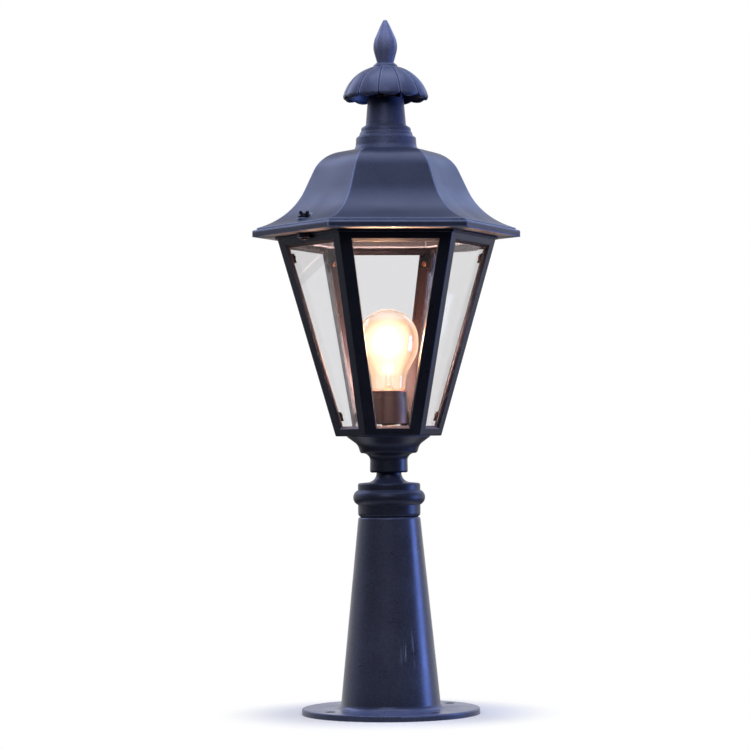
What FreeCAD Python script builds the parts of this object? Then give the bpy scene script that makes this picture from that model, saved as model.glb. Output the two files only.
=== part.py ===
"""Outdoor pedestal lamp: a six-sided glass lantern with a bell roof on a short tapered post.

Units are millimetres. +Z is up and the origin is the middle of the flange's underside. The lantern's front
pane faces -Y. Angles are in degrees about +Z, counted from +X. Every piece is built where it sits.
"""

import FreeCAD
import Part
import math
import os
from FreeCAD import Vector

# Fits between pieces
SLIP_FIT = 0.3
RUNNING_FIT = 0.05
SEAT_GAP = 0.3
GLASS_GAP = 0.3

# Screwdriver slots in the screw heads
SLOT_WIDTH = 0.9
SLOT_DEPTH = 0.8

# Pedestal casting: flange and tapered post
FLANGE_RADIUS = 89.0
FLANGE_THICKNESS = 6.0
FLANGE_EDGE_ROUND = 1.5
BOLT_CIRCLE_RADIUS = 73.0
BOLT_HOLE_RADIUS = 5.5
BOLT_COUNT = 4
BOLT_FIRST_ANGLE = 30.0
POST_FOOT_RADIUS = 50.2
POST_HEAD_RADIUS = 31.0
POST_HEIGHT = 190.5
POST_WALL = 5.0
POST_FOOT_FILLET = 6.0
POST_HEAD_ROUND = 2.0
POST_CAP_THICKNESS = 7.0

# Turned collar on the post: band, roll, band, cove and waist
BAND_RADIUS = 31.2
LOWER_BAND_HEIGHT = 12.4
LOWER_BAND_ROUND = 4.0
ROLL_RADIUS = 36.0
ROLL_SECTION_RADIUS = 8.0
UPPER_BAND_HEIGHT = 6.8
UPPER_BAND_ROUND = 2.2
COVE_RISE = 1.8
COVE_RADIUS = 9.4
WAIST_RADIUS = 12.5
WAIST_HEIGHT = 10.6
COLLAR_RECESS_RADIUS = 24.0
COLLAR_RECESS_DEPTH = 24.0

# Stepped cup under the lantern
CUP_FOOT_RADIUS = 19.0
CUP_FOOT_ROUND = 2.0
CUP_BARREL_RADIUS = 18.6
CUP_BARREL_HEIGHT = 19.4
CUP_COVE_RADIUS = 7.2
CUP_STEP_RADIUS = 28.4
CUP_STEP_ROUND = 3.0
CUP_FLARE_RADIUS = 31.0
CUP_FLARE_HEIGHT = 28.0
CUP_FLARE_ROUND = 10.0
CUP_RIM_RADIUS = 41.5
CUP_RIM_THICKNESS = 0.8
CUP_HEIGHT = 36.5
CUP_WALL = 4.0
CUP_FLOOR = 5.0

# Lantern cage casting
CAGE_BOTTOM_APOTHEM = 46.1
CAGE_TOP_APOTHEM = 95.6
CAGE_HEIGHT = 198.8
CAGE_WALL = 4.0
CAGE_FLOOR = 4.0
CAGE_EDGE_ROUND = 1.5
SILL_HEIGHT = 9.8
TOP_RAIL_HEIGHT = 11.4
POST_FACE_LOW = 12.4
POST_FACE_HIGH = 11.9
WINDOW_BEVEL = 2.8
WINDOW_SIDE_BEVEL = 1.0
RAIL_BEAD_HEIGHT = 2.4
RAIL_BEAD_OVERHANG = 1.3
MOUTH_APOTHEM = 88.0
MOUTH_LEDGE_HEIGHT = 3.8

# Glass panes and their clips
PANE_THICKNESS = 3.0
PANE_SIDE_LAP = 3.0
PANE_END_LAP = 2.0
CLIP_THICKNESS = 1.0
CLIP_HEIGHT = 9.0
CLIP_SETBACK = 0.6
CLIP_LOW_HEIGHT = 20.0
CLIP_TOP_DROP = 20.8
CLIP_HIGH_HEIGHT = CAGE_HEIGHT - CLIP_TOP_DROP
CLIP_SCREW_RADIUS = 1.5
CLIP_SCREW_HEAD_RADIUS = 2.8
CLIP_SCREW_HEAD_HEIGHT = 1.7
CLIP_SCREW_BITE = 2.6

# Threaded pipe through the stack, with washers and nuts
STEM_RADIUS = 6.85
STEM_BORE_RADIUS = 4.6
STEM_PROUD = 1.0
STEM_WASHER_RADIUS = 13.0
STEM_WASHER_THICKNESS = 1.6
STEM_NUT_ACROSS_FLATS = 20.0
STEM_NUT_THICKNESS = 4.0

# Lamp holder
BRACKET_THICKNESS = 1.5
BRACKET_WIDTH = 20.0
BRACKET_ARM_HEIGHT = 12.0
SOCKET_FOOT_RADIUS = 20.5
SOCKET_STEP_RADIUS = 19.5
SOCKET_RIM_RADIUS = 18.6
SOCKET_HEIGHT = 33.2
SOCKET_RIM_HEIGHT = 7.0
SOCKET_FLOOR = 3.2
SOCKET_MOUTH_RADIUS = 16.9
SOCKET_MOUTH_DEPTH = 4.5
SOCKET_EDGE_ROUND = 0.8
SHELL_RADIUS = 13.9
SHELL_WALL = 0.5
CONTACT_RADIUS = 4.0
CONTACT_THICKNESS = 0.9
CONTACT_GAP = 0.3
SOCKET_SCREW_RADIUS = 1.5
SOCKET_SCREW_HEAD_RADIUS = 2.8
SOCKET_SCREW_HEAD_HEIGHT = 1.6
SOCKET_SCREW_BITE = 4.0
SOCKET_SCREW_HEIGHT = 6.0

# Clear bulb
BULB_RADIUS = 30.4
BULB_LENGTH = 110.6
BULB_BASE_LENGTH = 24.5
BULB_BASE_RADIUS = 12.9
BULB_BASE_ROUND = 1.0
BULB_TIP_RADIUS = 4.6
BULB_TIP_HEIGHT = 1.8
BULB_INSULATOR_HEIGHT = 4.2
BULB_GLASS_WALL = 0.8
BULB_SHOULDER_DROP = 42.3
BULB_SHOULDER_ROUND = 28.0
BULB_THROAT_RADIUS = 17.9
BULB_THROAT_DROP = 66.3
BULB_THROAT_ROUND = 20.0
BULB_NECK_RADIUS = 17.2
BULB_NECK_DROP = 78.8
BULB_NECK_ROUND = 4.0
BULB_SEAL_RADIUS = 13.4
STEM_GLASS_RADIUS = 3.6
STEM_GLASS_HEIGHT = 30.0
FILAMENT_DROP = 34.0
FILAMENT_SPREAD = 9.0
FILAMENT_WIRE_RADIUS = 0.45
FILAMENT_COIL_RADIUS = 0.8

# Leads, connectors and ground screw inside the post
LEAD_RADIUS = 1.3
LEAD_OFFSET = 1.9
LEAD_SPLAY = 11.0
LEAD_SPLAY_DROP = 26.0
LEAD_TAIL = 26.0
LEAD_BEND_RADIUS = 14.0
CONNECTOR_RADIUS = 5.6
CONNECTOR_END_RADIUS = 4.2
CONNECTOR_END_ROUND = 1.5
CONNECTOR_LENGTH = 20.0
CONNECTOR_SOCKET_DEPTH = 9.0
GROUND_SCREW_RADIUS = 2.0
GROUND_SCREW_HEAD_RADIUS = 3.8
GROUND_SCREW_HEAD_HEIGHT = 2.2
GROUND_SCREW_BITE = 5.0
GROUND_SCREW_OFFSET = 19.0
EYELET_RADIUS = 4.3
EYELET_THICKNESS = 1.2
GROUND_LEAD_RUN = 12.0
GROUND_BEND_RADIUS = 6.0

# Bell roof casting
EAVE_APOTHEM = 116.5
FASCIA_HEIGHT = 6.8
EAVE_BEAD_ROUND = 1.6
BELL_FOOT_APOTHEM = 112.6
EAVE_STEP = 2.2
EAVE_STEP_ROUND = 0.8
ROOF_WAIST_APOTHEM = 82.8
ROOF_WAIST_HEIGHT = 18.3
ROOF_WAIST_ROUND = 64.0
ROOF_SHOULDER_APOTHEM = 56.3
ROOF_SHOULDER_HEIGHT = 82.5
ROOF_SHOULDER_ROUND = 31.0
ROOF_PAD_APOTHEM = 33.5
ROOF_HEIGHT = 86.2
ROOF_WALL = 4.0
ROOF_HAUNCH_LOW = 12.0
ROOF_HAUNCH_HIGH = 23.5
ROOF_VENT_RADIUS = 20.0
ROOF_LIP_THICKNESS = 3.0
ROOF_LIP_HEIGHT = 4.0
ROOF_LIP_GAP = 2.0

# Vent neck on the roof
NECK_FOOT_RADIUS = 32.3
NECK_FLARE_HEIGHT = 4.5
NECK_FLARE_ROUND = 3.0
NECK_BAND_RADIUS = 30.5
NECK_BAND_TOP_RADIUS = 29.9
NECK_BAND_HEIGHT = 12.6
NECK_BAND_ROUND = 1.0
NECK_COVE_RADIUS = 26.9
NECK_COVE_RISE = 2.2
NECK_QUIRK_RADIUS = 26.0
NECK_QUIRK_HEIGHT = 18.0
NECK_QUIRK_STEP = 0.9
NECK_OVOLO_RADIUS = 24.8
NECK_OVOLO_HEIGHT = 22.4
NECK_OVOLO_ROUND = 2.5
NECK_PIPE_RADIUS = 20.2
NECK_PIPE_LOW = 25.2
NECK_TOP_RADIUS = 17.9
NECK_HEIGHT = 52.0
NECK_WALL = 3.2

# Vent cap of petals
PETAL_COUNT = 12
CAP_RADIUS = 42.6
CAP_RIM_HEIGHT = 54.6
CAP_TIP_HEIGHT = 50.7
CAP_TIP_RADIUS = 41.2
CAP_CROWN_RADIUS = 12.4
CAP_CROWN_HEIGHT = 83.6
CAP_BULGE = 5.8
CAP_WALL = 3.0
PETAL_BULGE_OFFSET = 13.0
PETAL_TIP_ROUND = 22.6
PETAL_SWEEP = 120.0
PETAL_GROOVE = 1.5
PETAL_GROOVE_DEPTH = 1.4
CAP_RING_RADIUS = 12.0
CAP_RING_RISE = 1.6
CAP_RING_TOP_RADIUS = 9.2
CAP_RING_HEIGHT = 3.9
CAP_HUB_RADIUS = 6.5
CAP_RIB_COUNT = 4
CAP_RIB_THICKNESS = 3.0
CAP_RIB_REACH = 20.0

# Finial bud
FINIAL_SIDES = 12
FINIAL_FOOT_APOTHEM = 8.0
FINIAL_BELLY_APOTHEM = 13.1
FINIAL_BELLY_HEIGHT = 18.3
FINIAL_BELLY_ROUND = 24.0
FINIAL_SHOULDER_APOTHEM = 4.7
FINIAL_SHOULDER_HEIGHT = 37.4
FINIAL_SHOULDER_ROUND = 14.0
FINIAL_TIP_APOTHEM = 1.7
FINIAL_TIP_ROUND = 1.5
FINIAL_HEIGHT = 43.2

# Tie rod that holds neck, cap and finial on the roof
ROD_RADIUS = 3.0
ROD_BITE = 12.0
ROD_PROUD = 3.0
ROD_BAR_LENGTH = 58.0
ROD_BAR_WIDTH = 13.0
ROD_BAR_THICKNESS = 3.0
ROD_WASHER_RADIUS = 6.2
ROD_WASHER_THICKNESS = 1.2
ROD_NUT_ACROSS_FLATS = 10.0
ROD_NUT_THICKNESS = 5.0

# Thumb screw on the roof's front-left side
THUMB_ANGLE = 210.0
THUMB_REACH = 3.4
THUMB_OFFSET = CAGE_TOP_APOTHEM + THUMB_REACH
THUMB_PAD_RADIUS = 7.2
THUMB_PAD_HEIGHT = 14.6
THUMB_SHANK_RADIUS = 3.0
THUMB_HOLE_ROOM = 0.6
THUMB_ENGAGED = 6.5
THUMB_WASHER_RADIUS = 6.2
THUMB_WASHER_THICKNESS = 1.6
THUMB_HUB_RADIUS = 3.6
THUMB_HUB_HEIGHT = 2.4
THUMB_HUB_TAPER = 0.6
THUMB_HUB_ROUND = 0.8
THUMB_WING_SPAN = 5.0
THUMB_WING_HEIGHT = 4.6
THUMB_WING_THICKNESS = 2.0
THUMB_WING_ROUND = 1.8
THUMB_WING_LEAN = 0.4
LUG_RADIUS = 6.6
LUG_HEIGHT = 4.5

# Roof hinge on the back-right side
HINGE_ANGLE = 30.0
HINGE_EAR_RADIUS = 5.0
HINGE_EAR_WIDTH = 5.0
HINGE_KNUCKLE_WIDTH = 10.0
HINGE_SIDE_GAP = 0.4
HINGE_WALL_GAP = 0.8
HINGE_ROOF_GAP = 0.8
HINGE_PIN_RADIUS = 2.0
HINGE_HEAD_RADIUS = 3.6
HINGE_HEAD_THICKNESS = 1.6

# Places that follow from the sizes above
FLAT = math.cos(math.radians(30.0))
SLOPE_30 = math.tan(math.radians(30.0))
FACE_ANGLES = [30.0 + 60.0 * side for side in range(6)]
CORNER_ANGLES = [60.0 * side for side in range(6)]
UP = Vector(0, 0, 1)
ORIGIN = Vector(0, 0, 0)

POST_TOP = FLANGE_THICKNESS + POST_HEIGHT
ROLL_CENTRE_RADIUS = ROLL_RADIUS - ROLL_SECTION_RADIUS
ROLL_HALF_HEIGHT = math.sqrt(ROLL_SECTION_RADIUS ** 2 - (BAND_RADIUS - ROLL_CENTRE_RADIUS) ** 2)
ROLL_MIDDLE = POST_TOP + LOWER_BAND_HEIGHT + ROLL_HALF_HEIGHT
BAND_TOP = ROLL_MIDDLE + ROLL_HALF_HEIGHT + UPPER_BAND_HEIGHT
COLLAR_TOP = BAND_TOP + WAIST_HEIGHT
CUP_TOP = COLLAR_TOP + CUP_HEIGHT
CAGE_FLOOR_TOP = CUP_TOP + CAGE_FLOOR
CAGE_TOP = CUP_TOP + CAGE_HEIGHT
CAGE_SLOPE = (CAGE_TOP_APOTHEM - CAGE_BOTTOM_APOTHEM) / CAGE_HEIGHT
CAGE_LEAN = math.sqrt(1.0 + CAGE_SLOPE ** 2)
MOUTH_LEDGE_BOTTOM = CAGE_TOP - MOUTH_LEDGE_HEIGHT
WINDOW_LOW = CUP_TOP + SILL_HEIGHT
WINDOW_HIGH = CAGE_TOP - TOP_RAIL_HEIGHT

BRACKET_BOTTOM = CAGE_FLOOR_TOP + STEM_WASHER_THICKNESS
UPPER_NUT_BOTTOM = BRACKET_BOTTOM + BRACKET_THICKNESS
STEM_TOP = UPPER_NUT_BOTTOM + STEM_NUT_THICKNESS + STEM_PROUD
POST_CAP_BOTTOM = POST_TOP - POST_CAP_THICKNESS
LOWER_NUT_TOP = POST_CAP_BOTTOM - STEM_WASHER_THICKNESS
STEM_BOTTOM = LOWER_NUT_TOP - STEM_NUT_THICKNESS - STEM_PROUD
STEM_HOLE_RADIUS = STEM_RADIUS + SLIP_FIT

SOCKET_BOTTOM = STEM_TOP
SOCKET_TOP = SOCKET_BOTTOM + SOCKET_HEIGHT
SOCKET_CAVITY_BOTTOM = SOCKET_BOTTOM + SOCKET_FLOOR
SOCKET_MOUTH_BOTTOM = SOCKET_TOP - SOCKET_MOUTH_DEPTH
ARM_INSIDE = SOCKET_FOOT_RADIUS + SLIP_FIT
ARM_OUTSIDE = ARM_INSIDE + BRACKET_THICKNESS
SOCKET_SCREW_LEVEL = SOCKET_BOTTOM + SOCKET_SCREW_HEIGHT
BULB_BOTTOM = SOCKET_CAVITY_BOTTOM + CONTACT_THICKNESS + CONTACT_GAP
BULB_SHELL_TOP = BULB_BOTTOM + BULB_BASE_LENGTH
BULB_TOP = BULB_BOTTOM + BULB_LENGTH

ROOF_BASE = CAGE_TOP + SEAT_GAP
ROOF_TOP = ROOF_BASE + ROOF_HEIGHT
ROOF_CEILING = ROOF_TOP - ROOF_WALL
ROOF_CAVITY_APOTHEM = MOUTH_APOTHEM - ROOF_LIP_GAP - ROOF_LIP_THICKNESS
NECK_TOP = ROOF_TOP + NECK_HEIGHT
CAP_TIP = ROOF_TOP + CAP_TIP_HEIGHT
CAP_RIM = ROOF_TOP + CAP_RIM_HEIGHT
CAP_CROWN = ROOF_TOP + CAP_CROWN_HEIGHT
FINIAL_BOTTOM = CAP_CROWN + CAP_RING_HEIGHT
ROD_HOLE_RADIUS = ROD_RADIUS + SLIP_FIT
ROD_BAR_BOTTOM = ROOF_CEILING - ROD_BAR_THICKNESS
ROD_WASHER_BOTTOM = ROD_BAR_BOTTOM - ROD_WASHER_THICKNESS
ROD_NUT_BOTTOM = ROD_WASHER_BOTTOM - ROD_NUT_THICKNESS

THUMB_PAD = ROOF_BASE + THUMB_PAD_HEIGHT
THUMB_SEAT = THUMB_PAD + SEAT_GAP
THUMB_HEAD = THUMB_SEAT + THUMB_WASHER_THICKNESS + SEAT_GAP
THUMB_TIP = CAGE_TOP - THUMB_ENGAGED
THUMB_HOLE_RADIUS = THUMB_SHANK_RADIUS + THUMB_HOLE_ROOM
HINGE_OFFSET = CAGE_TOP_APOTHEM + RAIL_BEAD_OVERHANG + HINGE_EAR_RADIUS + HINGE_WALL_GAP
HINGE_LEVEL = ROOF_BASE - HINGE_EAR_RADIUS - HINGE_ROOF_GAP
HINGE_BORE_RADIUS = HINGE_PIN_RADIUS + RUNNING_FIT
HINGE_EAR_INSIDE = HINGE_KNUCKLE_WIDTH / 2 + HINGE_SIDE_GAP
HINGE_EAR_OUTSIDE = HINGE_EAR_INSIDE + HINGE_EAR_WIDTH


def polar(radius, angle, height=0.0):
    """Point at a radius, angle and height about the lamp's axis."""
    turn = math.radians(angle)
    return Vector(radius * math.cos(turn), radius * math.sin(turn), height)


def turn_to(shape, angle):
    """Copy of a shape turned about the lamp's axis."""
    copy = shape.copy()
    copy.rotate(ORIGIN, UP, angle)
    return copy


def rounded_loop(corners):
    """Closed wire in the XZ plane from corners (x, z) or (x, z, rounding radius)."""
    spots = [Vector(corner[0], 0, corner[1]) for corner in corners]
    turns = []
    for index, corner in enumerate(corners):
        spot = spots[index]
        radius = corner[2] if len(corner) > 2 else 0.0
        back = (spots[index - 1] - spot).normalize()
        ahead = (spots[(index + 1) % len(spots)] - spot).normalize()
        if radius == 0.0:
            turns.append((spot, None, spot))
            continue
        half = back.getAngle(ahead) / 2
        reach = radius / math.tan(half)
        middle = spot + (back + ahead).normalize() * (radius / math.sin(half) - radius)
        turns.append((spot + back * reach, middle, spot + ahead * reach))
    edges = []
    for index, (arrive, middle, leave) in enumerate(turns):
        if middle is not None:
            edges.append(Part.Arc(arrive, middle, leave).toShape())
        following = turns[(index + 1) % len(turns)][0]
        if leave.distanceToPoint(following) > 1e-6:
            edges.append(Part.makeLine(leave, following))
    return Part.Wire(edges)


def turned(corners):
    """Solid of revolution about the lamp's axis from an outline of (radius, height) corners."""
    return Part.Face(rounded_loop(corners)).revolve(ORIGIN, UP, 360)


def cylinder(radius, low, high, x=0.0, y=0.0):
    """Upright cylinder between two heights."""
    return Part.makeCylinder(radius, high - low, Vector(x, y, low))


def rod(radius, start, end):
    """Cylinder from one point to another."""
    return Part.makeCylinder(radius, (end - start).Length, start, end - start)


def driver_slot(crown, inward, radius):
    """Cutter for the slot across a screw head, from the middle of its crown."""
    slot = Part.makeBox(SLOT_DEPTH, SLOT_WIDTH, 2 * radius, Vector(0, -SLOT_WIDTH / 2, -radius))
    slot.Placement = FreeCAD.Placement(crown, FreeCAD.Rotation(Vector(1, 0, 0), inward))
    return slot


def hexagon(apothem, height):
    """Level hexagon with flats on the lantern's faces."""
    points = [polar(apothem / FLAT, angle, height) for angle in CORNER_ANGLES]
    return Part.makePolygon(points + points[:1])


def hex_prism(apothem, low, high):
    """Upright six-sided prism."""
    return Part.Face(hexagon(apothem, low)).extrude(Vector(0, 0, high - low))


def hex_taper(apothem_low, apothem_high, low, high):
    """Six-sided solid that widens or narrows with height."""
    return Part.makeLoft([hexagon(apothem_low, low), hexagon(apothem_high, high)], True, True)


def hex_nut(across_flats, bore_radius, low, high):
    """Hexagon nut with chamfered corners and a plain bore."""
    corner_radius = across_flats / 2 / FLAT
    blank = hex_prism(across_flats / 2, low, high)
    drop = (corner_radius - across_flats / 2) * SLOPE_30
    turned_blank = turned([(0, low), (across_flats / 2, low), (corner_radius, low + drop),
                           (corner_radius, high - drop), (across_flats / 2, high), (0, high)])
    return blank.common(turned_blank).cut(cylinder(bore_radius, low, high))


def ring(outer_radius, inner_radius, low, high):
    """Flat washer or plain tube."""
    return cylinder(outer_radius, low, high).cut(cylinder(inner_radius, low, high))


def mirrored_slab(corners, reach):
    """Slab along Y whose XZ section is the given right-hand outline and its mirror image."""
    left = [(-corner[0],) + tuple(corner[1:]) for corner in reversed(corners)]
    face = Part.Face(rounded_loop(list(corners) + left))
    face.translate(Vector(0, -reach, 0))
    return face.extrude(Vector(0, 2 * reach, 0))


def many_sided(corners, reach, sides, first_angle):
    """Solid with an even number of equal sides, each side following one outline of (apothem, height)."""
    slab = mirrored_slab(corners, reach)
    angles = [first_angle + 360.0 / sides * index for index in range(sides // 2)]
    solid = turn_to(slab, angles[0])
    for angle in angles[1:]:
        solid = solid.common(turn_to(slab, angle))
    return solid


def bent_tube(points, tube_radius, bend_radius):
    """Round tube along straight runs joined by arcs."""
    edges = []
    start = points[0]
    for before, spot, after in zip(points, points[1:], points[2:]):
        back = (before - spot).normalize()
        ahead = (after - spot).normalize()
        half = back.getAngle(ahead) / 2
        reach = bend_radius / math.tan(half)
        middle = spot + (back + ahead).normalize() * (bend_radius / math.sin(half) - bend_radius)
        edges.append(Part.makeLine(start, spot + back * reach))
        edges.append(Part.Arc(spot + back * reach, middle, spot + ahead * reach).toShape())
        start = spot + ahead * reach
    edges.append(Part.makeLine(start, points[-1]))
    section = Part.Wire(Part.makeCircle(tube_radius, points[0], points[1] - points[0]))
    return Part.Wire(edges).makePipeShell([section], True, True)


def post_radius(height):
    """Outside radius of the tapered post at a height."""
    share = (height - FLANGE_THICKNESS) / POST_HEIGHT
    return POST_FOOT_RADIUS + (POST_HEAD_RADIUS - POST_FOOT_RADIUS) * share


def cage_apothem(height, depth=0.0):
    """Apothem of the cage's outside at a height, or of a surface a depth inside it, square to the face."""
    return CAGE_BOTTOM_APOTHEM + CAGE_SLOPE * (height - CUP_TOP) - depth * CAGE_LEAN


def make_pedestal():
    """Flange and hollow tapered post in one casting, with bolt holes and a capped top."""
    body = turned([(0, 0), (FLANGE_RADIUS, 0), (FLANGE_RADIUS, FLANGE_THICKNESS, FLANGE_EDGE_ROUND),
                   (POST_FOOT_RADIUS, FLANGE_THICKNESS, POST_FOOT_FILLET),
                   (POST_HEAD_RADIUS, POST_TOP, POST_HEAD_ROUND), (0, POST_TOP)])
    hollow = turned([(0, 0), (post_radius(0) - POST_WALL, 0),
                     (post_radius(POST_CAP_BOTTOM) - POST_WALL, POST_CAP_BOTTOM, POST_HEAD_ROUND),
                     (0, POST_CAP_BOTTOM)])
    body = body.cut(hollow).cut(cylinder(STEM_HOLE_RADIUS, POST_CAP_BOTTOM, POST_TOP))
    for index in range(BOLT_COUNT):
        spot = polar(BOLT_CIRCLE_RADIUS, BOLT_FIRST_ANGLE + 360.0 / BOLT_COUNT * index)
        body = body.cut(cylinder(BOLT_HOLE_RADIUS, 0, FLANGE_THICKNESS, spot.x, spot.y))
    return body.cut(cylinder(GROUND_SCREW_RADIUS, POST_CAP_BOTTOM, POST_CAP_BOTTOM + GROUND_SCREW_BITE,
                             0, GROUND_SCREW_OFFSET))


def make_collar():
    """Turned collar: two bands with a roll between them, then a cove up to the waist."""
    stack = turned([(0, POST_TOP), (BAND_RADIUS, POST_TOP, LOWER_BAND_ROUND),
                    (BAND_RADIUS, BAND_TOP, UPPER_BAND_ROUND),
                    (WAIST_RADIUS, BAND_TOP + COVE_RISE, COVE_RADIUS),
                    (WAIST_RADIUS, COLLAR_TOP), (0, COLLAR_TOP)])
    roll = Part.makeTorus(ROLL_CENTRE_RADIUS, ROLL_SECTION_RADIUS, Vector(0, 0, ROLL_MIDDLE))
    recess = cylinder(COLLAR_RECESS_RADIUS, POST_TOP, POST_TOP + COLLAR_RECESS_DEPTH)
    return stack.fuse(roll).cut(recess).cut(cylinder(STEM_HOLE_RADIUS, POST_TOP, COLLAR_TOP))


def make_cup():
    """Hollow stepped cup that carries the lantern."""
    step = COLLAR_TOP + CUP_BARREL_HEIGHT
    flare = COLLAR_TOP + CUP_FLARE_HEIGHT
    body = turned([(0, COLLAR_TOP), (CUP_FOOT_RADIUS, COLLAR_TOP, CUP_FOOT_ROUND),
                   (CUP_BARREL_RADIUS, step, CUP_COVE_RADIUS), (CUP_STEP_RADIUS, step, CUP_STEP_ROUND),
                   (CUP_FLARE_RADIUS, flare, CUP_FLARE_ROUND), (CUP_RIM_RADIUS, CUP_TOP - CUP_RIM_THICKNESS),
                   (CUP_RIM_RADIUS, CUP_TOP), (0, CUP_TOP)])
    hollow = turned([(0, COLLAR_TOP + CUP_FLOOR), (CUP_BARREL_RADIUS - CUP_WALL, COLLAR_TOP + CUP_FLOOR),
                     (CUP_BARREL_RADIUS - CUP_WALL, step),
                     (CUP_STEP_RADIUS - CUP_WALL, step + CUP_WALL),
                     (CUP_FLARE_RADIUS - CUP_WALL, flare),
                     (CUP_RIM_RADIUS - 2 * CUP_WALL, CUP_TOP), (0, CUP_TOP)])
    return body.cut(hollow).cut(cylinder(STEM_HOLE_RADIUS, COLLAR_TOP, CUP_TOP))


def window_outline(depth, end_spread, side_spread):
    """Window opening on the face at angle 0, a depth inside it and widened at its ends and sides."""
    points = []
    ends = ((WINDOW_LOW, POST_FACE_LOW, -end_spread), (WINDOW_HIGH, POST_FACE_HIGH, end_spread))
    for height, post_face, drop in ends:
        level = height + drop
        half_width = cage_apothem(height) * SLOPE_30 - post_face + side_spread
        points.append((Vector(cage_apothem(level) - depth, -half_width, level),
                       Vector(cage_apothem(level) - depth, half_width, level)))
    low, high = points
    return Part.makePolygon([low[0], low[1], high[1], high[0], low[0]])


def make_window_cutter():
    """Cutter for one window: a straight opening, and a bevel at its outer edge, wider on sill and rail."""
    opening = Part.makeLoft([window_outline(-WINDOW_BEVEL, 0, 0), window_outline(3 * CAGE_WALL, 0, 0)],
                            True, True)
    bevel = Part.makeLoft([window_outline(-WINDOW_BEVEL, 2 * WINDOW_BEVEL, 2 * WINDOW_SIDE_BEVEL),
                           window_outline(WINDOW_BEVEL, 0, 0)], True, True)
    return opening.fuse(bevel)


def make_hinge_ear():
    """One cage ear of the roof hinge, on the face at angle 0, on the +Y side."""
    barrel = rod(HINGE_EAR_RADIUS, Vector(HINGE_OFFSET, HINGE_EAR_INSIDE, HINGE_LEVEL),
                 Vector(HINGE_OFFSET, HINGE_EAR_OUTSIDE, HINGE_LEVEL))
    root = cage_apothem(HINGE_LEVEL, CAGE_WALL / 2)
    web = Part.makeBox(HINGE_OFFSET - root, HINGE_EAR_WIDTH, 2 * HINGE_EAR_RADIUS,
                       Vector(root, HINGE_EAR_INSIDE, HINGE_LEVEL - HINGE_EAR_RADIUS))
    return barrel.fuse(web)


def make_hinge_bore(radius, half_length):
    """Cylinder along the hinge axis, on the face at angle 0."""
    return rod(radius, Vector(HINGE_OFFSET, -half_length, HINGE_LEVEL),
               Vector(HINGE_OFFSET, half_length, HINGE_LEVEL))


def make_thumb_lug():
    """Lug on the face at angle 0 that takes the thumb screw's end."""
    root = cage_apothem(CAGE_TOP, CAGE_WALL / 2)
    boss = cylinder(LUG_RADIUS, CAGE_TOP - LUG_HEIGHT, CAGE_TOP, THUMB_OFFSET)
    web = Part.makeBox(THUMB_OFFSET - root, 2 * LUG_RADIUS, LUG_HEIGHT,
                       Vector(root, -LUG_RADIUS, CAGE_TOP - LUG_HEIGHT))
    return boss.fuse(web)


def make_cage():
    """Six-sided cage casting: floor, V posts, rails with a bead, thumb screw lug and hinge ears."""
    body = hex_taper(CAGE_BOTTOM_APOTHEM, CAGE_TOP_APOTHEM, CUP_TOP, CAGE_TOP)
    lower_edges = [edge for edge in body.Edges if edge.BoundBox.ZMin < CUP_TOP + CAGE_EDGE_ROUND]
    body = body.makeFillet(CAGE_EDGE_ROUND, lower_edges)
    bead_apothem = CAGE_TOP_APOTHEM + RAIL_BEAD_OVERHANG
    bead = hex_prism(bead_apothem, CAGE_TOP - RAIL_BEAD_HEIGHT, CAGE_TOP)
    corners = [edge for edge in bead.Edges if edge.BoundBox.ZLength > RAIL_BEAD_HEIGHT / 2]
    bead = bead.makeFillet(RAIL_BEAD_HEIGHT / 3, corners)
    lug = turn_to(make_thumb_lug(), THUMB_ANGLE)
    ear = make_hinge_ear()
    other_ear = ear.mirror(ORIGIN, Vector(0, 1, 0))
    body = body.fuse([bead, lug, turn_to(ear, HINGE_ANGLE), turn_to(other_ear, HINGE_ANGLE)])
    hollow = hex_taper(cage_apothem(CAGE_FLOOR_TOP, CAGE_WALL), cage_apothem(MOUTH_LEDGE_BOTTOM, CAGE_WALL),
                       CAGE_FLOOR_TOP, MOUTH_LEDGE_BOTTOM)
    thumb_hole = cylinder(THUMB_HOLE_RADIUS, CAGE_TOP - LUG_HEIGHT, CAGE_TOP, THUMB_OFFSET)
    cutters = [hollow, hex_prism(MOUTH_APOTHEM, MOUTH_LEDGE_BOTTOM, CAGE_TOP),
               cylinder(STEM_HOLE_RADIUS, CUP_TOP, CAGE_FLOOR_TOP),
               turn_to(thumb_hole, THUMB_ANGLE),
               turn_to(make_hinge_bore(HINGE_BORE_RADIUS, HINGE_EAR_OUTSIDE), HINGE_ANGLE)]
    window = make_window_cutter()
    cutters += [turn_to(window, angle) for angle in FACE_ANGLES]
    for angle in CORNER_ANGLES:
        for level in clip_levels():
            cutters.append(rod(CLIP_SCREW_RADIUS, polar(clip_seat_radius(level), angle, level),
                               polar(clip_screw_end(level), angle, level)))
    return body.cut(cutters)


def make_pane(angle):
    """One clear pane, tilted with its face and set just inside the cage wall."""
    inside = CAGE_WALL + GLASS_GAP
    inward = Vector(-1, 0, CAGE_SLOPE) / CAGE_LEAN
    corners = []
    for height, post_face, lap in ((WINDOW_LOW, POST_FACE_LOW, -PANE_END_LAP),
                                   (WINDOW_HIGH, POST_FACE_HIGH, PANE_END_LAP)):
        half_width = cage_apothem(height) * SLOPE_30 - post_face + PANE_SIDE_LAP
        spot = Vector(cage_apothem(height + lap), 0, height + lap) + inward * inside
        corners.append((spot - Vector(0, half_width, 0), spot + Vector(0, half_width, 0)))
    low, high = corners
    outline = Part.makePolygon([low[0], low[1], high[1], high[0], low[0]])
    return turn_to(Part.Face(outline).extrude(inward * PANE_THICKNESS), angle)


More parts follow.
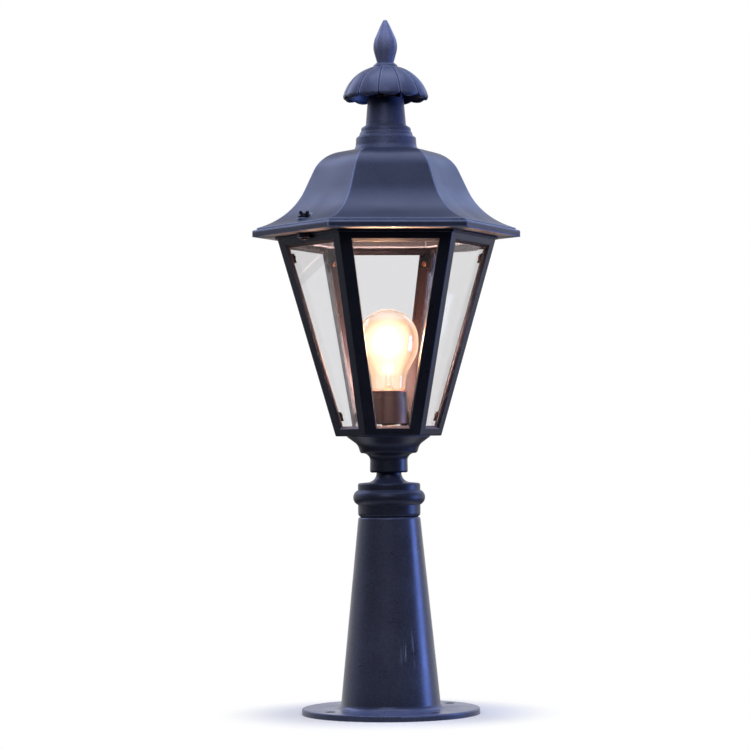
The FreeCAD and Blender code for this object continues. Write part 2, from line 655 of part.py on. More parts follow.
def clip_levels():
    """Heights of the lower and upper glass clips."""
    return [CUP_TOP + CLIP_LOW_HEIGHT, CUP_TOP + CLIP_HIGH_HEIGHT]


def clip_depth():
    """Depth of the clip's outer side inside the cage's face."""
    return CAGE_WALL + PANE_THICKNESS + 2 * GLASS_GAP


def clip_seat_radius(level):
    """Distance from the axis to the clip screw's seat, where its head meets both leaves of the clip."""
    inside = cage_apothem(level - CLIP_SCREW_HEAD_RADIUS, clip_depth() + CLIP_THICKNESS) / FLAT
    return inside - CLIP_SCREW_HEAD_RADIUS * SLOPE_30


def clip_side(level):
    """Half width of a clip, which ends just short of its post's edge so that no window shows it."""
    share = (level - WINDOW_LOW) / (WINDOW_HIGH - WINDOW_LOW)
    post_face = POST_FACE_LOW + share * (POST_FACE_HIGH - POST_FACE_LOW)
    return (post_face - CLIP_SETBACK - clip_depth() * SLOPE_30) * FLAT


def clip_screw_end(level):
    """Distance from the axis to the clip screw's end in the post."""
    return cage_apothem(level, CAGE_WALL) / FLAT + CLIP_SCREW_BITE


def make_clips():
    """Bent clips, two on each post, each holding the edges of two panes."""
    clips = []
    for level in clip_levels():
        low = level - CLIP_HEIGHT / 2
        high = level + CLIP_HEIGHT / 2
        outer = clip_depth()
        inner = outer + CLIP_THICKNESS
        band = hex_taper(cage_apothem(low, outer), cage_apothem(high, outer), low, high)
        band = band.cut(hex_taper(cage_apothem(low, inner), cage_apothem(high, inner), low, high))
        reach = CAGE_TOP_APOTHEM / FLAT
        side = clip_side(level)
        block = Part.makeBox(reach, 2 * side, CLIP_HEIGHT, Vector(0, -side, low))
        clip = band.common(block)
        clip = clip.cut(rod(CLIP_SCREW_RADIUS + SLIP_FIT, Vector(0, 0, level), Vector(reach, 0, level)))
        clips += [turn_to(clip, angle) for angle in CORNER_ANGLES]
    return Part.makeCompound(clips)


def make_clip_screws():
    """Pan head screws of the glass clips."""
    screws = []
    for level in clip_levels():
        seat = Vector(clip_seat_radius(level), 0, level)
        shank = rod(CLIP_SCREW_RADIUS, seat, Vector(clip_screw_end(level), 0, level))
        crown = seat - Vector(CLIP_SCREW_HEAD_HEIGHT, 0, 0)
        head = rod(CLIP_SCREW_HEAD_RADIUS, crown, seat)
        rim = [edge for edge in head.Edges if edge.BoundBox.XMax < seat.x - CLIP_SCREW_HEAD_HEIGHT / 2]
        head = head.makeFillet(CLIP_SCREW_HEAD_HEIGHT / 2, rim)
        head = head.cut(driver_slot(crown, seat - crown, CLIP_SCREW_HEAD_RADIUS))
        screws += [turn_to(head.fuse(shank), angle) for angle in CORNER_ANGLES]
    return Part.makeCompound(screws)


def make_bracket():
    """U-shaped strap under the lamp holder, clamped by the upper nut."""
    base = Part.makeBox(2 * ARM_OUTSIDE, BRACKET_WIDTH, BRACKET_THICKNESS,
                        Vector(-ARM_OUTSIDE, -BRACKET_WIDTH / 2, BRACKET_BOTTOM))
    top = SOCKET_BOTTOM + BRACKET_ARM_HEIGHT
    arm = Part.makeBox(BRACKET_THICKNESS, BRACKET_WIDTH, top - BRACKET_BOTTOM,
                       Vector(ARM_INSIDE, -BRACKET_WIDTH / 2, BRACKET_BOTTOM))
    corners = [edge for edge in arm.Edges
               if edge.BoundBox.ZMin > SOCKET_BOTTOM and edge.BoundBox.XLength > BRACKET_THICKNESS / 2]
    arm = arm.makeFillet(BRACKET_WIDTH / 4, corners)
    strap = base.fuse([arm, turn_to(arm, 180)]).removeSplitter()
    strap = strap.cut(cylinder(STEM_HOLE_RADIUS, BRACKET_BOTTOM, UPPER_NUT_BOTTOM))
    return strap.cut(rod(SOCKET_SCREW_RADIUS + SLIP_FIT, Vector(-ARM_OUTSIDE, 0, SOCKET_SCREW_LEVEL),
                         Vector(ARM_OUTSIDE, 0, SOCKET_SCREW_LEVEL)))


def make_socket_body():
    """Moulded lamp holder with a stepped rim."""
    step = SOCKET_TOP - SOCKET_RIM_HEIGHT
    body = turned([(0, SOCKET_BOTTOM), (SOCKET_FOOT_RADIUS, SOCKET_BOTTOM, SOCKET_EDGE_ROUND),
                   (SOCKET_STEP_RADIUS, step, SOCKET_EDGE_ROUND / 2), (SOCKET_RIM_RADIUS, step),
                   (SOCKET_RIM_RADIUS, SOCKET_TOP, SOCKET_EDGE_ROUND), (0, SOCKET_TOP)])
    hollow = turned([(0, SOCKET_CAVITY_BOTTOM), (SHELL_RADIUS + SLIP_FIT, SOCKET_CAVITY_BOTTOM),
                     (SHELL_RADIUS + SLIP_FIT, SOCKET_MOUTH_BOTTOM),
                     (SOCKET_MOUTH_RADIUS, SOCKET_MOUTH_BOTTOM), (SOCKET_MOUTH_RADIUS, SOCKET_TOP),
                     (0, SOCKET_TOP)])
    body = body.cut(hollow)
    for angle in (0, 180):
        body = body.cut(rod(SOCKET_SCREW_RADIUS, polar(ARM_OUTSIDE - SOCKET_SCREW_BITE - BRACKET_THICKNESS,
                                                       angle, SOCKET_SCREW_LEVEL),
                            polar(ARM_OUTSIDE, angle, SOCKET_SCREW_LEVEL)))
    return body


def make_socket_screws():
    """Two screws that hold the lamp holder in its strap."""
    seat = Vector(ARM_OUTSIDE, 0, SOCKET_SCREW_LEVEL)
    shank = rod(SOCKET_SCREW_RADIUS, seat - Vector(SOCKET_SCREW_BITE + BRACKET_THICKNESS, 0, 0), seat)
    crown = seat + Vector(SOCKET_SCREW_HEAD_HEIGHT, 0, 0)
    head = rod(SOCKET_SCREW_HEAD_RADIUS, seat, crown)
    rim = [edge for edge in head.Edges if edge.BoundBox.XMin > seat.x + SOCKET_SCREW_HEAD_HEIGHT / 2]
    head = head.makeFillet(SOCKET_SCREW_HEAD_HEIGHT / 2, rim)
    screw = head.cut(driver_slot(crown, seat - crown, SOCKET_SCREW_HEAD_RADIUS)).fuse(shank)
    return Part.makeCompound([screw, turn_to(screw, 180)])


def make_envelope(shrink):
    """Solid of the bulb's glass outline, made smaller all round by a wall."""
    radius = BULB_RADIUS - shrink
    top = BULB_TOP - shrink
    return turned([(0, BULB_SHELL_TOP), (BULB_SEAL_RADIUS - shrink, BULB_SHELL_TOP),
                   (BULB_NECK_RADIUS - shrink, BULB_TOP - BULB_NECK_DROP, BULB_NECK_ROUND),
                   (BULB_THROAT_RADIUS - shrink, BULB_TOP - BULB_THROAT_DROP, BULB_THROAT_ROUND),
                   (radius, BULB_TOP - BULB_SHOULDER_DROP, BULB_SHOULDER_ROUND),
                   (radius, top, radius), (0, top)])


def make_bulb_base():
    """Screw base of the bulb, without its tip and insulator."""
    low = BULB_BOTTOM + BULB_TIP_HEIGHT + BULB_INSULATOR_HEIGHT
    return turned([(0, low), (BULB_BASE_RADIUS, low, BULB_BASE_ROUND),
                   (BULB_BASE_RADIUS, BULB_SHELL_TOP, BULB_BASE_ROUND / 2), (0, BULB_SHELL_TOP)])


def make_bulb_insulator():
    """Glass cone between the bulb's tip and its screw base."""
    low = BULB_BOTTOM + BULB_TIP_HEIGHT
    high = low + BULB_INSULATOR_HEIGHT
    return turned([(0, low), (BULB_TIP_RADIUS, low), (BULB_BASE_RADIUS - BULB_BASE_ROUND, high), (0, high)])


def make_bulb_stem():
    """Glass mount inside the bulb, flared at its foot."""
    top = BULB_SHELL_TOP + STEM_GLASS_HEIGHT
    foot = BULB_SEAL_RADIUS - BULB_GLASS_WALL - SLIP_FIT
    return turned([(0, BULB_SHELL_TOP), (foot, BULB_SHELL_TOP), (foot, BULB_SHELL_TOP + BULB_GLASS_WALL),
                   (STEM_GLASS_RADIUS, BULB_SHELL_TOP + foot - STEM_GLASS_RADIUS, STEM_GLASS_RADIUS),
                   (STEM_GLASS_RADIUS, top, STEM_GLASS_RADIUS / 2), (0, top)])


def make_bulb_filament():
    """Two support wires and the curved filament between them."""
    top = BULB_SHELL_TOP + STEM_GLASS_HEIGHT
    level = BULB_TOP - FILAMENT_DROP
    hook = Vector(FILAMENT_SPREAD, 0, level)
    foot = Vector(STEM_GLASS_RADIUS / 2, 0, top + FILAMENT_WIRE_RADIUS)
    wire = rod(FILAMENT_WIRE_RADIUS, foot, hook)
    sag = Vector(0, FILAMENT_SPREAD / 2, level + FILAMENT_SPREAD / 3)
    arc = Part.Arc(hook, sag, Vector(-FILAMENT_SPREAD, 0, level))
    section = Part.Wire(Part.makeCircle(FILAMENT_COIL_RADIUS, hook, arc.tangent(arc.FirstParameter)[0]))
    coil = Part.Wire(arc.toShape()).makePipeShell([section], True, True)
    return coil.fuse([wire, turn_to(wire, 180)])


def lead_points(side):
    """Route of one lead from the lamp holder down the pipe to its connector."""
    inner = side * LEAD_OFFSET
    outer = side * LEAD_SPLAY
    return [Vector(inner, 0, SOCKET_BOTTOM), Vector(inner, 0, STEM_BOTTOM - LEAD_SPLAY / 2),
            Vector(outer, 0, STEM_BOTTOM - LEAD_SPLAY / 2 - LEAD_SPLAY_DROP),
            Vector(outer, 0, connector_top() - CONNECTOR_SOCKET_DEPTH)]


def connector_top():
    """Height of the wire connectors' mouths."""
    return STEM_BOTTOM - LEAD_SPLAY / 2 - LEAD_SPLAY_DROP - LEAD_TAIL


def ground_run():
    """X position where the ground lead turns down from its eyelet."""
    return EYELET_RADIUS + GROUND_LEAD_RUN


def make_ground_lead():
    """Ground lead with its eyelet under the ground screw."""
    high = POST_CAP_BOTTOM
    low = high - EYELET_THICKNESS
    eyelet = ring(EYELET_RADIUS, GROUND_SCREW_RADIUS + SLIP_FIT, low, high)
    eyelet.translate(Vector(0, GROUND_SCREW_OFFSET, 0))
    level = low - LEAD_RADIUS / 2
    start = Vector(EYELET_RADIUS - LEAD_RADIUS, GROUND_SCREW_OFFSET, level)
    bend = Vector(ground_run(), GROUND_SCREW_OFFSET, level)
    end = Vector(ground_run(), GROUND_SCREW_OFFSET, connector_top() - CONNECTOR_SOCKET_DEPTH)
    wire = bent_tube([start, bend, end], LEAD_RADIUS, GROUND_BEND_RADIUS)
    screw_room = cylinder(GROUND_SCREW_HEAD_RADIUS + SLIP_FIT, low - 2 * GROUND_SCREW_HEAD_HEIGHT, low,
                          0, GROUND_SCREW_OFFSET)
    return eyelet.fuse(wire.cut(screw_room))


def make_connectors():
    """Three tapered wire connectors on the ends of the leads."""
    high = connector_top()
    low = high - CONNECTOR_LENGTH
    body = turned([(0, low), (CONNECTOR_END_RADIUS, low, CONNECTOR_END_ROUND), (CONNECTOR_RADIUS, high),
                   (0, high)])
    body = body.cut(cylinder(LEAD_RADIUS + SLIP_FIT, high - CONNECTOR_SOCKET_DEPTH - SLIP_FIT, high))
    places = [Vector(LEAD_SPLAY, 0, 0), Vector(-LEAD_SPLAY, 0, 0),
              Vector(ground_run(), GROUND_SCREW_OFFSET, 0)]
    return Part.makeCompound([body.translated(place) for place in places])


def make_ground_screw():
    """Ground screw in the post's cap, head down."""
    seat = POST_CAP_BOTTOM - EYELET_THICKNESS
    head = cylinder(GROUND_SCREW_HEAD_RADIUS, seat - GROUND_SCREW_HEAD_HEIGHT, seat, 0, GROUND_SCREW_OFFSET)
    rim = [edge for edge in head.Edges if edge.BoundBox.ZMax < seat - GROUND_SCREW_HEAD_HEIGHT / 2]
    head = head.makeFillet(GROUND_SCREW_HEAD_HEIGHT / 3, rim)
    crown = Vector(0, GROUND_SCREW_OFFSET, seat - GROUND_SCREW_HEAD_HEIGHT)
    shank = cylinder(GROUND_SCREW_RADIUS, seat, POST_CAP_BOTTOM + GROUND_SCREW_BITE, 0, GROUND_SCREW_OFFSET)
    return head.cut(driver_slot(crown, UP, GROUND_SCREW_HEAD_RADIUS)).fuse(shank)


def inset_corner(before, corner, after, wall):
    """Outline corner moved in by a wall, square to both of its sides."""
    back = (Vector(*before) - Vector(*corner)).normalize()
    ahead = (Vector(*after) - Vector(*corner)).normalize()
    half = back.getAngle(ahead) / 2
    moved = Vector(*corner) + (back + ahead).normalize() * (wall / math.sin(half))
    return moved.x, moved.y


def make_roof():
    """Six-sided bell roof with a flat eave, a beaded fascia, a vent hole and a lip that centres it."""
    foot = ROOF_BASE + FASCIA_HEIGHT
    waist = (ROOF_WAIST_APOTHEM, ROOF_BASE + ROOF_WAIST_HEIGHT)
    shoulder = (ROOF_SHOULDER_APOTHEM, ROOF_BASE + ROOF_SHOULDER_HEIGHT)
    pad = (ROOF_PAD_APOTHEM, ROOF_TOP)
    reach = 2 * EAVE_APOTHEM
    outside = many_sided([(EAVE_APOTHEM, ROOF_BASE), (EAVE_APOTHEM, foot, EAVE_BEAD_ROUND),
                          (BELL_FOOT_APOTHEM, foot),
                          (BELL_FOOT_APOTHEM, foot + EAVE_STEP, EAVE_STEP_ROUND),
                          waist + (ROOF_WAIST_ROUND,), shoulder + (ROOF_SHOULDER_ROUND,), pad],
                         reach, 6, FACE_ANGLES[0])
    run = (shoulder[0] - waist[0]) / (shoulder[1] - waist[1])
    haunch_high = ROOF_BASE + ROOF_HAUNCH_HIGH
    haunch = waist[0] + run * (haunch_high - waist[1]) - ROOF_WALL * math.sqrt(1 + run ** 2)
    inner_shoulder = inset_corner(waist, shoulder, pad, ROOF_WALL)
    hollow = many_sided([(ROOF_CAVITY_APOTHEM, ROOF_BASE),
                         (ROOF_CAVITY_APOTHEM, ROOF_BASE + ROOF_HAUNCH_LOW), (haunch, haunch_high),
                         inner_shoulder + (ROOF_SHOULDER_ROUND - ROOF_WALL,),
                         (ROOF_PAD_APOTHEM, ROOF_CEILING)], reach, 6, FACE_ANGLES[0])
    lip_low = ROOF_BASE - ROOF_LIP_HEIGHT
    lip = hex_prism(MOUTH_APOTHEM - ROOF_LIP_GAP, lip_low, ROOF_BASE)
    lip = lip.cut(hex_prism(ROOF_CAVITY_APOTHEM, lip_low, ROOF_BASE))
    knuckle = rod(HINGE_EAR_RADIUS, Vector(HINGE_OFFSET, -HINGE_KNUCKLE_WIDTH / 2, HINGE_LEVEL),
                  Vector(HINGE_OFFSET, HINGE_KNUCKLE_WIDTH / 2, HINGE_LEVEL))
    block = Part.makeBox(2 * HINGE_EAR_RADIUS, HINGE_KNUCKLE_WIDTH, foot - HINGE_LEVEL,
                         Vector(HINGE_OFFSET - HINGE_EAR_RADIUS, -HINGE_KNUCKLE_WIDTH / 2, HINGE_LEVEL))
    thumb_pad = cylinder(THUMB_PAD_RADIUS, ROOF_BASE, THUMB_PAD, THUMB_OFFSET)
    roof = outside.cut(hollow).fuse([lip, turn_to(knuckle.fuse(block), HINGE_ANGLE),
                                     turn_to(thumb_pad, THUMB_ANGLE)])
    spot_face = cylinder(THUMB_PAD_RADIUS, THUMB_PAD, ROOF_TOP, THUMB_OFFSET)
    thumb_hole = cylinder(THUMB_HOLE_RADIUS, ROOF_BASE, THUMB_PAD, THUMB_OFFSET)
    return roof.cut([cylinder(ROOF_VENT_RADIUS, ROOF_CEILING, ROOF_TOP), turn_to(spot_face, THUMB_ANGLE),
                     turn_to(thumb_hole, THUMB_ANGLE),
                     turn_to(make_hinge_bore(HINGE_BORE_RADIUS, HINGE_KNUCKLE_WIDTH / 2), HINGE_ANGLE)])


def make_neck():
    """Stepped round collar and tapered vent pipe in one casting."""
    band_top = ROOF_TOP + NECK_BAND_HEIGHT
    cove = band_top + NECK_COVE_RISE
    quirk = ROOF_TOP + NECK_QUIRK_HEIGHT
    pipe = ROOF_TOP + NECK_PIPE_LOW
    return turned([(NECK_FOOT_RADIUS - NECK_WALL, ROOF_TOP), (NECK_FOOT_RADIUS, ROOF_TOP),
                   (NECK_BAND_RADIUS, ROOF_TOP + NECK_FLARE_HEIGHT, NECK_FLARE_ROUND),
                   (NECK_BAND_TOP_RADIUS, band_top, NECK_BAND_ROUND), (NECK_COVE_RADIUS, cove),
                   (NECK_QUIRK_RADIUS, quirk), (NECK_QUIRK_RADIUS - NECK_QUIRK_STEP, quirk),
                   (NECK_OVOLO_RADIUS, ROOF_TOP + NECK_OVOLO_HEIGHT, NECK_OVOLO_ROUND),
                   (NECK_PIPE_RADIUS, pipe), (NECK_TOP_RADIUS, NECK_TOP),
                   (NECK_TOP_RADIUS - NECK_WALL, NECK_TOP), (NECK_PIPE_RADIUS - NECK_WALL, pipe - NECK_WALL),
                   (NECK_QUIRK_RADIUS - NECK_QUIRK_STEP - NECK_WALL, quirk - NECK_WALL),
                   (NECK_BAND_TOP_RADIUS - NECK_WALL, band_top - NECK_WALL)])


def cap_arc(wall):
    """Start, middle, end and centre of the cap's dome in the XZ plane, a wall inside its outer face."""
    crown = Vector(CAP_CROWN_RADIUS, 0, CAP_CROWN)
    rim = Vector(CAP_RADIUS, 0, CAP_RIM)
    chord = rim - crown
    half = chord.Length / 2
    radius = (half ** 2 + CAP_BULGE ** 2) / (2 * CAP_BULGE)
    outward = Vector(-chord.z, 0, chord.x).normalize()
    centre = (crown + rim) / 2 - outward * (radius - CAP_BULGE)
    share = (radius - wall) / radius
    middle = centre + outward * (radius - wall)
    return centre + (crown - centre) * share, middle, centre + (rim - centre) * share


def make_dome(outer_wall, inner_wall):
    """Section face of the cap between two depths below its outer surface."""
    outer = cap_arc(outer_wall)
    inner = cap_arc(inner_wall)
    edges = [Part.Arc(*outer).toShape(), Part.makeLine(outer[2], inner[2]),
             Part.Arc(inner[2], inner[1], inner[0]).toShape(), Part.makeLine(inner[0], outer[0])]
    return Part.Face(Part.Wire(edges))


def make_petal():
    """One petal of the cap on the +X side: a bulged leaf with a round tip."""
    crown, middle, rim = cap_arc(0)
    inner_crown, inner_middle, inner_rim = cap_arc(CAP_WALL)
    tip = Vector(CAP_TIP_RADIUS, 0, CAP_TIP)
    inner_tip = tip - Vector(CAP_WALL, 0, 0)
    axis = Vector(PETAL_BULGE_OFFSET, 0, 0)
    lip = (rim + tip) / 2 + Vector(CAP_WALL / 6, 0, 0)
    edges = [Part.Arc(crown, middle, rim).toShape(), Part.Arc(rim, lip, tip).toShape(),
             Part.makeLine(tip, inner_tip), Part.makeLine(inner_tip, inner_rim),
             Part.Arc(inner_rim, inner_middle, inner_crown).toShape(), Part.makeLine(inner_crown, crown)]
    section = Part.Face(Part.Wire(edges))
    beyond = Part.makeBox(CAP_RADIUS, CAP_WALL, 2 * CAP_RADIUS,
                          Vector(PETAL_BULGE_OFFSET, -CAP_WALL / 2, CAP_TIP - CAP_WALL))
    section = section.common(beyond)
    section.rotate(axis, UP, -PETAL_SWEEP / 2)
    leaf = section.revolve(axis, UP, PETAL_SWEEP)
    half_angle = 180.0 / PETAL_COUNT
    apex = Vector(PETAL_GROOVE / 2 / math.sin(math.radians(half_angle)), 0, CAP_TIP - CAP_WALL)
    far = 2 * CAP_RADIUS
    wedge = Part.makePolygon([apex, apex + polar(far, -half_angle), apex + polar(far, half_angle), apex])
    leaf = leaf.common(Part.Face(wedge).extrude(Vector(0, 0, far)))
    middle_height = CAP_TIP + PETAL_TIP_ROUND
    tongue = rod(PETAL_TIP_ROUND, Vector(0, 0, middle_height), Vector(far, 0, middle_height))
    upper = Part.makeBox(far, far, far, Vector(0, -CAP_RADIUS, middle_height))
    return leaf.common(tongue.fuse(upper))


def make_cap():
    """Vent cap casting: petals over a thin dome, a ring for the finial, a hub and ribs on the neck."""
    dome = make_dome(PETAL_GROOVE_DEPTH, CAP_WALL + PETAL_GROOVE_DEPTH / 2).revolve(ORIGIN, UP, 360)
    petal = make_petal()
    first = 90.0 + 360.0 / PETAL_COUNT
    petals = [turn_to(petal, first + 360.0 / PETAL_COUNT * index) for index in range(PETAL_COUNT)]
    under_crown = CAP_CROWN - CAP_WALL
    ring_top = turned([(0, under_crown - CAP_WALL), (CAP_CROWN_RADIUS + CAP_WALL, under_crown - CAP_WALL),
                       (CAP_CROWN_RADIUS + CAP_WALL, under_crown), (CAP_CROWN_RADIUS, CAP_CROWN),
                       (CAP_RING_RADIUS, CAP_CROWN + CAP_RING_RISE), (CAP_RING_TOP_RADIUS, FINIAL_BOTTOM),
                       (0, FINIAL_BOTTOM)])
    hub = cylinder(CAP_HUB_RADIUS, NECK_TOP, under_crown)
    ribs = []
    for index in range(CAP_RIB_COUNT):
        rib = Part.makeBox(CAP_RIB_REACH, CAP_RIB_THICKNESS, under_crown - NECK_TOP - CAP_WALL / 2,
                           Vector(0, -CAP_RIB_THICKNESS / 2, NECK_TOP))
        ribs.append(turn_to(rib, 360.0 / CAP_RIB_COUNT * (index + 0.5)))
    cap = dome.fuse(petals + [ring_top, hub] + ribs)
    return cap.cut(cylinder(ROD_HOLE_RADIUS, NECK_TOP, FINIAL_BOTTOM))


def make_finial():
    """Bud finial with flat sides that curve in to the tip, drilled for the tie rod."""
    belly = FINIAL_BOTTOM + FINIAL_BELLY_HEIGHT
    shoulder = FINIAL_BOTTOM + FINIAL_SHOULDER_HEIGHT
    top = FINIAL_BOTTOM + FINIAL_HEIGHT
    bud = many_sided([(FINIAL_FOOT_APOTHEM, FINIAL_BOTTOM),
                      (FINIAL_BELLY_APOTHEM, belly, FINIAL_BELLY_ROUND),
                      (FINIAL_SHOULDER_APOTHEM, shoulder, FINIAL_SHOULDER_ROUND),
                      (FINIAL_TIP_APOTHEM, top, FINIAL_TIP_ROUND)],
                     2 * FINIAL_BELLY_APOTHEM, FINIAL_SIDES, 90.0)
    return bud.cut(cylinder(ROD_HOLE_RADIUS, FINIAL_BOTTOM, FINIAL_BOTTOM + ROD_BITE + SEAT_GAP))


def make_rod_bar():
    """Flat bar across the vent hole, under the roof, that the tie rod pulls on."""
    bar = Part.makeBox(ROD_BAR_LENGTH, ROD_BAR_WIDTH, ROD_BAR_THICKNESS,
                       Vector(-ROD_BAR_LENGTH / 2, -ROD_BAR_WIDTH / 2, ROD_BAR_BOTTOM))
    corners = [edge for edge in bar.Edges if edge.BoundBox.ZLength > ROD_BAR_THICKNESS / 2]
    bar = bar.makeFillet(ROD_BAR_WIDTH / 3, corners)
    return bar.cut(cylinder(ROD_HOLE_RADIUS, ROD_BAR_BOTTOM, ROOF_CEILING))


def make_thumb_screw():
    """Wing-headed thumb screw, its shank down through the roof into the cage's lug."""
    shank = cylinder(THUMB_SHANK_RADIUS, THUMB_TIP, THUMB_HEAD)
    hub_top = THUMB_HEAD + THUMB_HUB_HEIGHT
    hub = turned([(0, THUMB_HEAD), (THUMB_HUB_RADIUS, THUMB_HEAD),
                  (THUMB_HUB_RADIUS - THUMB_HUB_TAPER, hub_top, THUMB_HUB_ROUND), (0, hub_top)])
    low = THUMB_HEAD + THUMB_HUB_HEIGHT / 4
    high = THUMB_HEAD + THUMB_WING_HEIGHT
    round_off = THUMB_WING_ROUND / 2
    wing = Part.Face(rounded_loop([(0, low), (THUMB_HUB_RADIUS, low),
                                   (THUMB_WING_SPAN, THUMB_HEAD + THUMB_WING_HEIGHT / 2, round_off),
                                   (THUMB_WING_SPAN - THUMB_WING_LEAN, high, round_off),
                                   (THUMB_WING_SPAN / 2, high, round_off),
                                   (0, THUMB_HEAD + THUMB_HUB_HEIGHT / 2)]))
    wing.translate(Vector(0, -THUMB_WING_THICKNESS / 2, 0))
    wing = wing.extrude(Vector(0, THUMB_WING_THICKNESS, 0))
    screw = shank.fuse([hub, wing, turn_to(wing, 180)])
    return screw.translated(polar(THUMB_OFFSET, THUMB_ANGLE))


def make_thumb_washer():
    """Flat washer under the thumb screw's head."""
    washer = ring(THUMB_WASHER_RADIUS, THUMB_SHANK_RADIUS + SLIP_FIT, THUMB_SEAT,
                  THUMB_SEAT + THUMB_WASHER_THICKNESS)
    return washer.translated(polar(THUMB_OFFSET, THUMB_ANGLE))


def make_hinge_pin():
    """Headed hinge pin with a pressed ring on its plain end."""
    pin = make_hinge_bore(HINGE_PIN_RADIUS, HINGE_EAR_OUTSIDE + HINGE_HEAD_THICKNESS)
    start = Vector(HINGE_OFFSET, HINGE_EAR_OUTSIDE, HINGE_LEVEL)
    head = rod(HINGE_HEAD_RADIUS, start, start + Vector(0, HINGE_HEAD_THICKNESS, 0))
    other_head = head.mirror(ORIGIN, Vector(0, 1, 0))
    return turn_to(pin.fuse([head, other_head]), HINGE_ANGLE)


def make_parts():
    """Every piece of the lamp by name."""
    pane_names = ["pane_back_right", "pane_back", "pane_back_left", "pane_front_left", "pane_front",
                  "pane_front_right"]
    parts = {
        "pedestal": make_pedestal(),
        "pedestal_collar": make_collar(),
        "fitter_cup": make_cup(),
        "lantern_cage": make_cage(),
        "pane_clips": make_clips(),
        "pane_clip_screws": make_clip_screws(),
        "stem_nipple": ring(STEM_RADIUS, STEM_BORE_RADIUS, STEM_BOTTOM, STEM_TOP),
        "stem_washer_lower": ring(STEM_WASHER_RADIUS, STEM_HOLE_RADIUS, LOWER_NUT_TOP, POST_CAP_BOTTOM),
        "stem_nut_lower": hex_nut(STEM_NUT_ACROSS_FLATS, STEM_RADIUS + RUNNING_FIT,
                                  LOWER_NUT_TOP - STEM_NUT_THICKNESS, LOWER_NUT_TOP),
        "stem_washer_upper": ring(STEM_WASHER_RADIUS, STEM_HOLE_RADIUS, CAGE_FLOOR_TOP, BRACKET_BOTTOM),
        "stem_nut_upper": hex_nut(STEM_NUT_ACROSS_FLATS, STEM_RADIUS + RUNNING_FIT, UPPER_NUT_BOTTOM,
                                  UPPER_NUT_BOTTOM + STEM_NUT_THICKNESS),
        "socket_bracket": make_bracket(),
        "socket_body": make_socket_body(),
        "socket_screws": make_socket_screws(),
        "socket_shell": ring(SHELL_RADIUS, SHELL_RADIUS - SHELL_WALL, SOCKET_CAVITY_BOTTOM,
                             SOCKET_MOUTH_BOTTOM),
        "socket_contact": cylinder(CONTACT_RADIUS, SOCKET_CAVITY_BOTTOM,
                                   SOCKET_CAVITY_BOTTOM + CONTACT_THICKNESS),
        "bulb_glass": make_envelope(0).cut(make_envelope(BULB_GLASS_WALL)),
        "bulb_base": make_bulb_base(),
        "bulb_insulator": make_bulb_insulator(),
        "bulb_tip": cylinder(BULB_TIP_RADIUS, BULB_BOTTOM, BULB_BOTTOM + BULB_TIP_HEIGHT),
        "bulb_stem": make_bulb_stem(),
        "bulb_filament": make_bulb_filament(),
        "lead_hot": bent_tube(lead_points(1), LEAD_RADIUS, LEAD_BEND_RADIUS),
        "lead_neutral": bent_tube(lead_points(-1), LEAD_RADIUS, LEAD_BEND_RADIUS),
        "lead_ground": make_ground_lead(),
        "wire_connectors": make_connectors(),
        "ground_screw": make_ground_screw(),
        "roof_shell": make_roof(),
        "roof_neck": make_neck(),
        "vent_cap": make_cap(),
        "finial": make_finial(),
        "tie_rod": cylinder(ROD_RADIUS, ROD_NUT_BOTTOM - ROD_PROUD, FINIAL_BOTTOM + ROD_BITE),
        "tie_rod_bar": make_rod_bar(),
        "tie_rod_washer": ring(ROD_WASHER_RADIUS, ROD_HOLE_RADIUS, ROD_WASHER_BOTTOM, ROD_BAR_BOTTOM),
        "tie_rod_nut": hex_nut(ROD_NUT_ACROSS_FLATS, ROD_RADIUS + RUNNING_FIT, ROD_NUT_BOTTOM,
                               ROD_WASHER_BOTTOM),
        "thumb_screw_washer": make_thumb_washer(),
        "thumb_screw": make_thumb_screw(),
        "hinge_pin": make_hinge_pin(),
    }
    for name, angle in zip(pane_names, FACE_ANGLES):
        parts[name] = make_pane(angle)
    return parts


def main():
    """Write each piece to its own STEP file."""
    os.makedirs("parts", exist_ok=True)
    for name, shape in make_parts().items():
        shape.exportStep("parts/" + name + ".step")


main()
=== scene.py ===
"""Looks of an outdoor pedestal lamp: finishes, threads, glowing bulb, studio and camera.

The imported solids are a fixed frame, and every piece made here sits on them. Lengths are in metres, and
names that end in _mm are in millimetres. +Z is up, and the front pane faces -Y.
"""

import logging
import math
from collections.abc import Sequence
from dataclasses import dataclass
from enum import Enum

import bpy
from mathutils import Matrix, Vector


